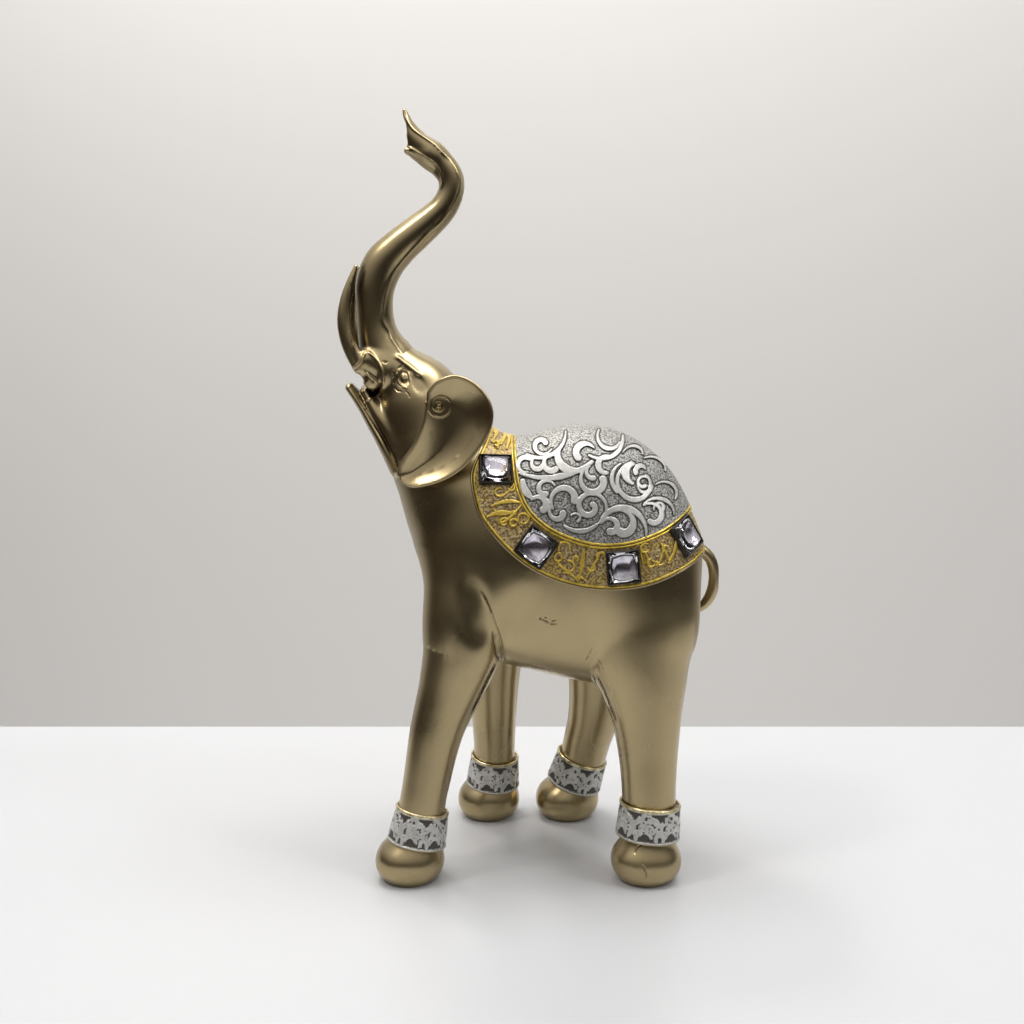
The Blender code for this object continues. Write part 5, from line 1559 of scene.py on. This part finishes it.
def tube(name, path, normals, section, closed, material):
    """Sweep a section along a path into a piece with rounded shading and closed ends."""
    places, quads = carried(path, normals, section, closed)
    thing = mesh_object(name, places, quads, material)
    if not closed:
        make_outward(thing.data)
    return ride(thing)


def carried(path, normals, section, closed):
    """A section carried along a path, each station's side the normal crossed with the path's way."""
    ahead = np.roll(path, -1, axis=0)
    behind = np.roll(path, 1, axis=0)
    if not closed:
        ahead[-1] = path[-1]
        behind[0] = path[0]
    along = ahead - behind
    along /= np.linalg.norm(along, axis=1)[:, None]
    sides = np.cross(normals, along)
    sides /= np.linalg.norm(sides, axis=1)[:, None]
    lifts = np.cross(along, sides)
    if section.shape[0] == 1:
        section = np.repeat(section, len(path), axis=0)
    places = path[:, None] + sides[:, None] * section[:, :, :1] + lifts[:, None] * section[:, :, 1:]
    return places.reshape(-1, 3), ring_quads(len(path), section.shape[1], closed)


def ring_quads(stations, corners, closed):
    """Quads between neighbouring rings of points."""
    i = np.arange(stations if closed else stations - 1)[:, None]
    j = np.arange(corners)[None, :]
    here = i * corners
    there = (i + 1) % stations * corners
    after = (j + 1) % corners
    return np.stack((here + j, here + after, there + after, there + j), axis=2).reshape(-1, 4)


def make_outward(mesh):
    """Close a mesh's open ends, where it has any, and turn its faces outward."""
    form = bmesh.new()
    form.from_mesh(mesh)
    bmesh.ops.holes_fill(form, edges=[edge for edge in form.edges if edge.is_boundary])
    bmesh.ops.recalc_face_normals(form, faces=form.faces)
    form.to_mesh(mesh)
    form.free()


class STATUE_OT_cords(bpy.types.Operator):
    """Double gold cord round the panel, and a gold cord with a bronze bead round the border."""

    bl_idname = "statue.cords"
    bl_label = "Cords"

    def execute(self, context):
        gold = gold_paint()
        bronze = bronze_lacquer()
        radius = sizes().cord / UNIT
        level = sizes().cloth / UNIT
        rows = (("cord_panel_inner", CLOTH_INNER, level + 0.35, 0.62, radius, gold),
                ("cord_panel_outer", CLOTH_INNER, level + 0.20, -0.58, radius, gold),
                ("cord_border", CLOTH_OUTER, level - 0.05, 0.55, radius, gold),
                ("bead_border", CLOTH_OUTER, level - 0.45, -0.50, 0.95 * radius, bronze))
        for name, edge, rise, side, size, material in rows:
            path = cloth_edge(edge, rise, grid_step(CORD_STEP))
            normals = slope_of(hide, path)
            tube(name, path, normals, tube_section(size, 8, side), True, material)
        return {"FINISHED"}


def squares(frame_of, rows):
    """Square loops of the given half size and height over a stone's origin."""
    centre, along, across, outward = frame_of
    places = []
    for half, height in rows:
        for i, j in ((-1, -1), (1, -1), (1, 1), (-1, 1)):
            places.append(centre + half * i * along + half * j * across + height * outward)
    return np.array(places)


def both_sides(places, faces):
    """The left side's points and faces, and their mirror image on the right with its faces turned."""
    mirrored = places * np.array((1.0, -1.0, 1.0))
    return ((places, faces), (mirrored, np.asarray(faces)[:, ::-1]))


class STATUE_OT_settings(bpy.types.Operator):
    """Square black-brown settings lined with bright foil that slopes up to their walls."""

    bl_idname = "statue.settings"
    bl_label = "Settings"

    def execute(self, context):
        size = sizes()
        pocket = 0.5 * size.gem / UNIT + size.clearance / UNIT
        wall = size.wall / UNIT
        outer = pocket + wall
        rise = size.setting_rise / UNIT
        rows = ((outer, -2.2), (outer, 0.35 * rise), (outer - 0.25 * wall, 0.85 * rise),
                (outer - 0.5 * wall, rise), (pocket + 0.25 * wall, rise), (pocket, rise - 0.3),
                (pocket, -0.65), (pocket - 0.4, -2.2))
        paint = setting_paint()
        foil = stone_foil()
        for number, frame_of in enumerate(gem_frames(), 1):
            places = squares(frame_of, rows)
            lining = squares(frame_of, ((0.36 * pocket, -0.62), (pocket + 0.05, 0.34), (pocket + 0.05, 0.1),
                                        (0.36 * pocket, -0.9)))
            quads = ring_quads(len(rows), 4, True)
            plates = np.vstack((ring_quads(4, 4, False), ((3, 2, 1, 0), (12, 13, 14, 15))))
            for side, (spot, faces) in zip(("left", "right"), both_sides(places, quads)):
                ride(flat_object(f"setting_{side}_{number}", spot, faces, paint, 0.12))
            for side, (spot, faces) in zip(("left", "right"), both_sides(lining, plates)):
                ride(flat_object(f"foil_{side}_{number}", spot, faces, foil, 0.0))
        return {"FINISHED"}


def flat_object(name, places, faces, material, bevel):
    """Flat-faced piece, its normals turned outward and its edges broken by a small bevel."""
    thing = mesh_object(name, places, faces, material, False)
    make_outward(thing.data)
    if bevel:
        cut = thing.modifiers.new("Broken edges", "BEVEL")
        cut.width = bevel * UNIT
        cut.segments = 2
        cut.limit_method = "ANGLE"
    return thing


class STATUE_OT_stones(bpy.types.Operator):
    """Clear square stones with a stepped crown and a shallow pavilion."""

    bl_idname = "statue.stones"
    bl_label = "Stones"

    def execute(self, context):
        size = sizes()
        half = 0.5 * size.gem / UNIT
        floor = -0.7 + size.clearance / UNIT
        height = size.gem_height / UNIT
        rows = ((0.30 * half, floor), (half, floor + 0.28 * height), (half, floor + 0.38 * height),
                (0.80 * half, floor + 0.72 * height), (0.56 * half, floor + height))
        material = clear_stone()
        for number, frame_of in enumerate(gem_frames(), 1):
            places = squares(frame_of, rows)
            quads = np.vstack((ring_quads(len(rows), 4, False), ((3, 2, 1, 0), (16, 17, 18, 19))))
            for side, (spot, faces) in zip(("left", "right"), both_sides(places, quads)):
                gem = flat_object(f"stone_{side}_{number}", spot, faces, material, 0.0)
                ride(gem)
                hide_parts(f"gem_{side}_{number}")
        return {"FINISHED"}


class STATUE_OT_anklets(bpy.types.Operator):
    """Silver filigree anklets with a pale gold top rim and a thin lower rim."""

    bl_idname = "statue.anklets"
    bl_label = "Anklets"

    def execute(self, context):
        silver = silver_leaf()
        rim = anklet_rim()
        bronze = bronze_lacquer()
        for name, (low, high, low_radius, high_radius) in BANDS.items():
            low = np.array(low)
            axis = np.array(high) - low
            length = math.sqrt(axis @ axis)
            axis = axis / length
            sides = np.cross((0.0, 1.0, 0.0), axis)
            sides /= np.linalg.norm(sides)
            front = np.cross(axis, sides)
            band_piece(name, low, axis, sides, front, length, low_radius, high_radius, silver)
            for part, share, out, thick, material in (("top_rim", 0.985, 0.15, 0.75, rim),
                                                      ("low_rim", 0.02, 0.10, 0.45, bronze)):
                turn = 2.0 * math.pi * np.arange(72) / 72
                radius = low_radius + (high_radius - low_radius) * share + out - 0.5
                spokes = np.cos(turn)[:, None] * sides + np.sin(turn)[:, None] * front
                path = low + share * length * axis + radius * spokes
                section = tube_section(thick, 10)
                section[:, :, 1] *= 0.75
                tube(f"anklet_{part}_{name}", path, spokes, section, True, material)
        return {"FINISHED"}


def band_piece(name, low, axis, sides, front, length, low_radius, high_radius, material):
    """Filigree sleeve: radius over turn and height, with scrolls and pits cut in as relief."""
    around = int(2.0 * math.pi * low_radius / grid_step(ANKLET_STEP))
    upward = int(length / grid_step(ANKLET_STEP))
    turn = 2.0 * math.pi * np.arange(around) / around
    share = np.linspace(0.03, 0.955, upward)
    unrolled, lattice = np.meshgrid(turn, share, indexing="ij")
    height, tone = anklet_relief(unrolled, lattice, low_radius, length)
    radius = low_radius + (high_radius - low_radius) * lattice + height
    rows = np.concatenate((np.full((around, 1), low_radius - 1.6), radius,
                           np.full((around, 1), high_radius - 1.4)), axis=1)
    levels = np.concatenate(((0.03,), share, (0.955,)))
    spokes = np.cos(turn)[:, None] * sides + np.sin(turn)[:, None] * front
    places = low + levels[None, :, None] * length * axis + rows[:, :, None] * spokes[:, None, :]
    quads = ring_quads(around, len(levels), True)
    thing = mesh_object(f"anklet_{name}", places.reshape(-1, 3), quads, material)
    tones = np.concatenate((tone[:, :1], tone, tone[:, -1:]), axis=1)
    set_attribute(thing.data, "relief", tones.ravel())
    make_outward(thing.data)
    ride(thing)


def anklet_relief(turn, share, radius, length):
    """Height and tone of the filigree over the turn and the share of the height.

    Seven tiles go round; each holds the same scrolls, which stand over pits, between two plain lines.
    """
    width = 2.0 * math.pi * radius / ANKLET_TILES
    across = (turn / (2.0 * math.pi) * ANKLET_TILES) % 1.0 * 10.0
    up = share * 10.0
    edge = ANKLET_MAP(across, up) * width / 10.0
    raised = 1.0 - smooth_step(edge, 0.12, 0.50)
    raised *= 1.0 - smooth_step(ANKLET_PITS(turn * radius, share * length), 0.40, 0.70)
    lines = np.maximum(smooth_step(share, 0.90, 0.94), 1.0 - smooth_step(share, 0.05, 0.09))
    raised = np.maximum(raised, lines)
    depth = sizes().anklet / UNIT
    return -depth * (1.0 - raised), raised - 0.35 * (1.0 - raised)


def ear_rim(spacing):
    """Side view of an ear's rim from the lower front tip round the back."""
    rim = np.roll(smooth_outline(EAR_OUTLINE, 6), -6 * EAR_TIP, axis=0)[::-1]
    rim = rim[:int(6 * EAR_RIM_SPANS)]
    run = np.concatenate(((0.0,), np.cumsum(np.linalg.norm(np.diff(rim, axis=0), axis=1))))
    marks = np.linspace(0.0, run[-1], int(round(run[-1] / spacing)) + 1)
    return np.interp(marks, run, rim[:, 0]), np.interp(marks, run, rim[:, 1])


def ear_curl(spacing):
    """Side view of the curl in which an ear's rim ends: a spiral that draws in as it turns."""
    share = np.linspace(0.0, 1.0, int(math.radians(EAR_CURL_TURN) * 3.3 / spacing))[1:]
    angle = np.radians(EAR_CURL_START + EAR_CURL_TURN * share)
    radius = np.interp(share, np.linspace(0.0, 1.0, len(EAR_CURL_RADII)), EAR_CURL_RADII)
    return EAR_CURL_CENTRE[0] + radius * np.cos(angle), EAR_CURL_CENTRE[1] + radius * np.sin(angle)


def on_ear(x, z, side, rise):
    """Points over the face of an ear's dish at places of the left ear's side view."""
    depth = np.clip(-EAR_MAP(x, z) / 12.0, 0.0, 1.0)
    out = ear_sheet(x, z) - 5.0 * depth * (2.0 - depth) + rise
    if side > 0:
        x = x + FAR_EAR_SHIFT[0]
        z = z + FAR_EAR_SHIFT[1]
    return np.stack((x, side * out, z), axis=1)


class STATUE_OT_ears(bpy.types.Operator):
    """Rolled rims of the ears that end in a curl, and a finer bead down each front edge."""

    bl_idname = "statue.ears"
    bl_label = "Ear rims"

    def execute(self, context):
        bronze = bronze_lacquer()
        spacing = grid_step(EAR_RIM_STEP)
        rim_x, rim_z = ear_rim(spacing)
        curl_x, curl_z = ear_curl(spacing)
        front = smooth_outline(EAR_OUTLINE[EAR_TIP - 1:EAR_TIP + 6], 8, False).T
        whole = (np.concatenate((rim_x, curl_x)), np.concatenate((rim_z, curl_z)))
        for side, word in ((-1.0, "left"), (1.0, "right")):
            for part, (x, z), size, rise in (("rim", whole, 0.72, 0.15), ("front", front, 0.62, 0.45)):
                path = on_ear(x, z, side, rise)
                normals = np.repeat(np.array(((0.0, side, 0.0),)), len(path), axis=0)
                share = np.linspace(0.0, 1.0, len(path))
                taper = size * np.interp(share, (0.0, 0.1, 0.7, 1.0), (0.5, 1.0, 1.0, 0.6))
                tube(f"ear_{part}_{word}", path, normals, tube_section(taper, 10), False, bronze)
        return {"FINISHED"}


class STATUE_PT_panel(bpy.types.Panel):
    """Lists the statue's operators, sizes and colours."""

    bl_idname = "STATUE_PT_panel"
    bl_label = "Elephant statue"
    bl_space_type = "VIEW_3D"
    bl_region_type = "UI"
    bl_category = "Statue"

    def draw(self, context):
        layout = self.layout
        for operator in OPERATORS:
            layout.operator(operator.bl_idname)
        for group in (context.scene.statue_sizes, context.scene.statue_colours):
            column = layout.column()
            for name in group.bl_rna.properties.keys():
                if name not in ("rna_type", "name"):
                    column.prop(group, name)


OPERATORS = (STATUE_OT_stage, STATUE_OT_casting, STATUE_OT_panel, STATUE_OT_border, STATUE_OT_cords,
             STATUE_OT_settings, STATUE_OT_stones, STATUE_OT_anklets, STATUE_OT_ears)


def register():
    """Register the settings, operators and panel."""
    for kind in (StatueSizes, StatueColours, *OPERATORS, STATUE_PT_panel):
        bpy.utils.register_class(kind)
    bpy.types.Scene.statue_sizes = bpy.props.PointerProperty(type=StatueSizes)
    bpy.types.Scene.statue_colours = bpy.props.PointerProperty(type=StatueColours)


def unregister():
    """Take the settings, operators and panel out again."""
    del bpy.types.Scene.statue_sizes
    del bpy.types.Scene.statue_colours
    for kind in reversed((StatueSizes, StatueColours, *OPERATORS, STATUE_PT_panel)):
        bpy.utils.unregister_class(kind)


def main():
    """Build the whole statue in order."""
    register()
    bpy.ops.statue.stage()
    bpy.ops.statue.casting()
    bpy.ops.statue.panel()
    bpy.ops.statue.border()
    bpy.ops.statue.cords()
    bpy.ops.statue.settings()
    bpy.ops.statue.stones()
    bpy.ops.statue.anklets()
    bpy.ops.statue.ears()


if __name__ == "__main__":
    main()
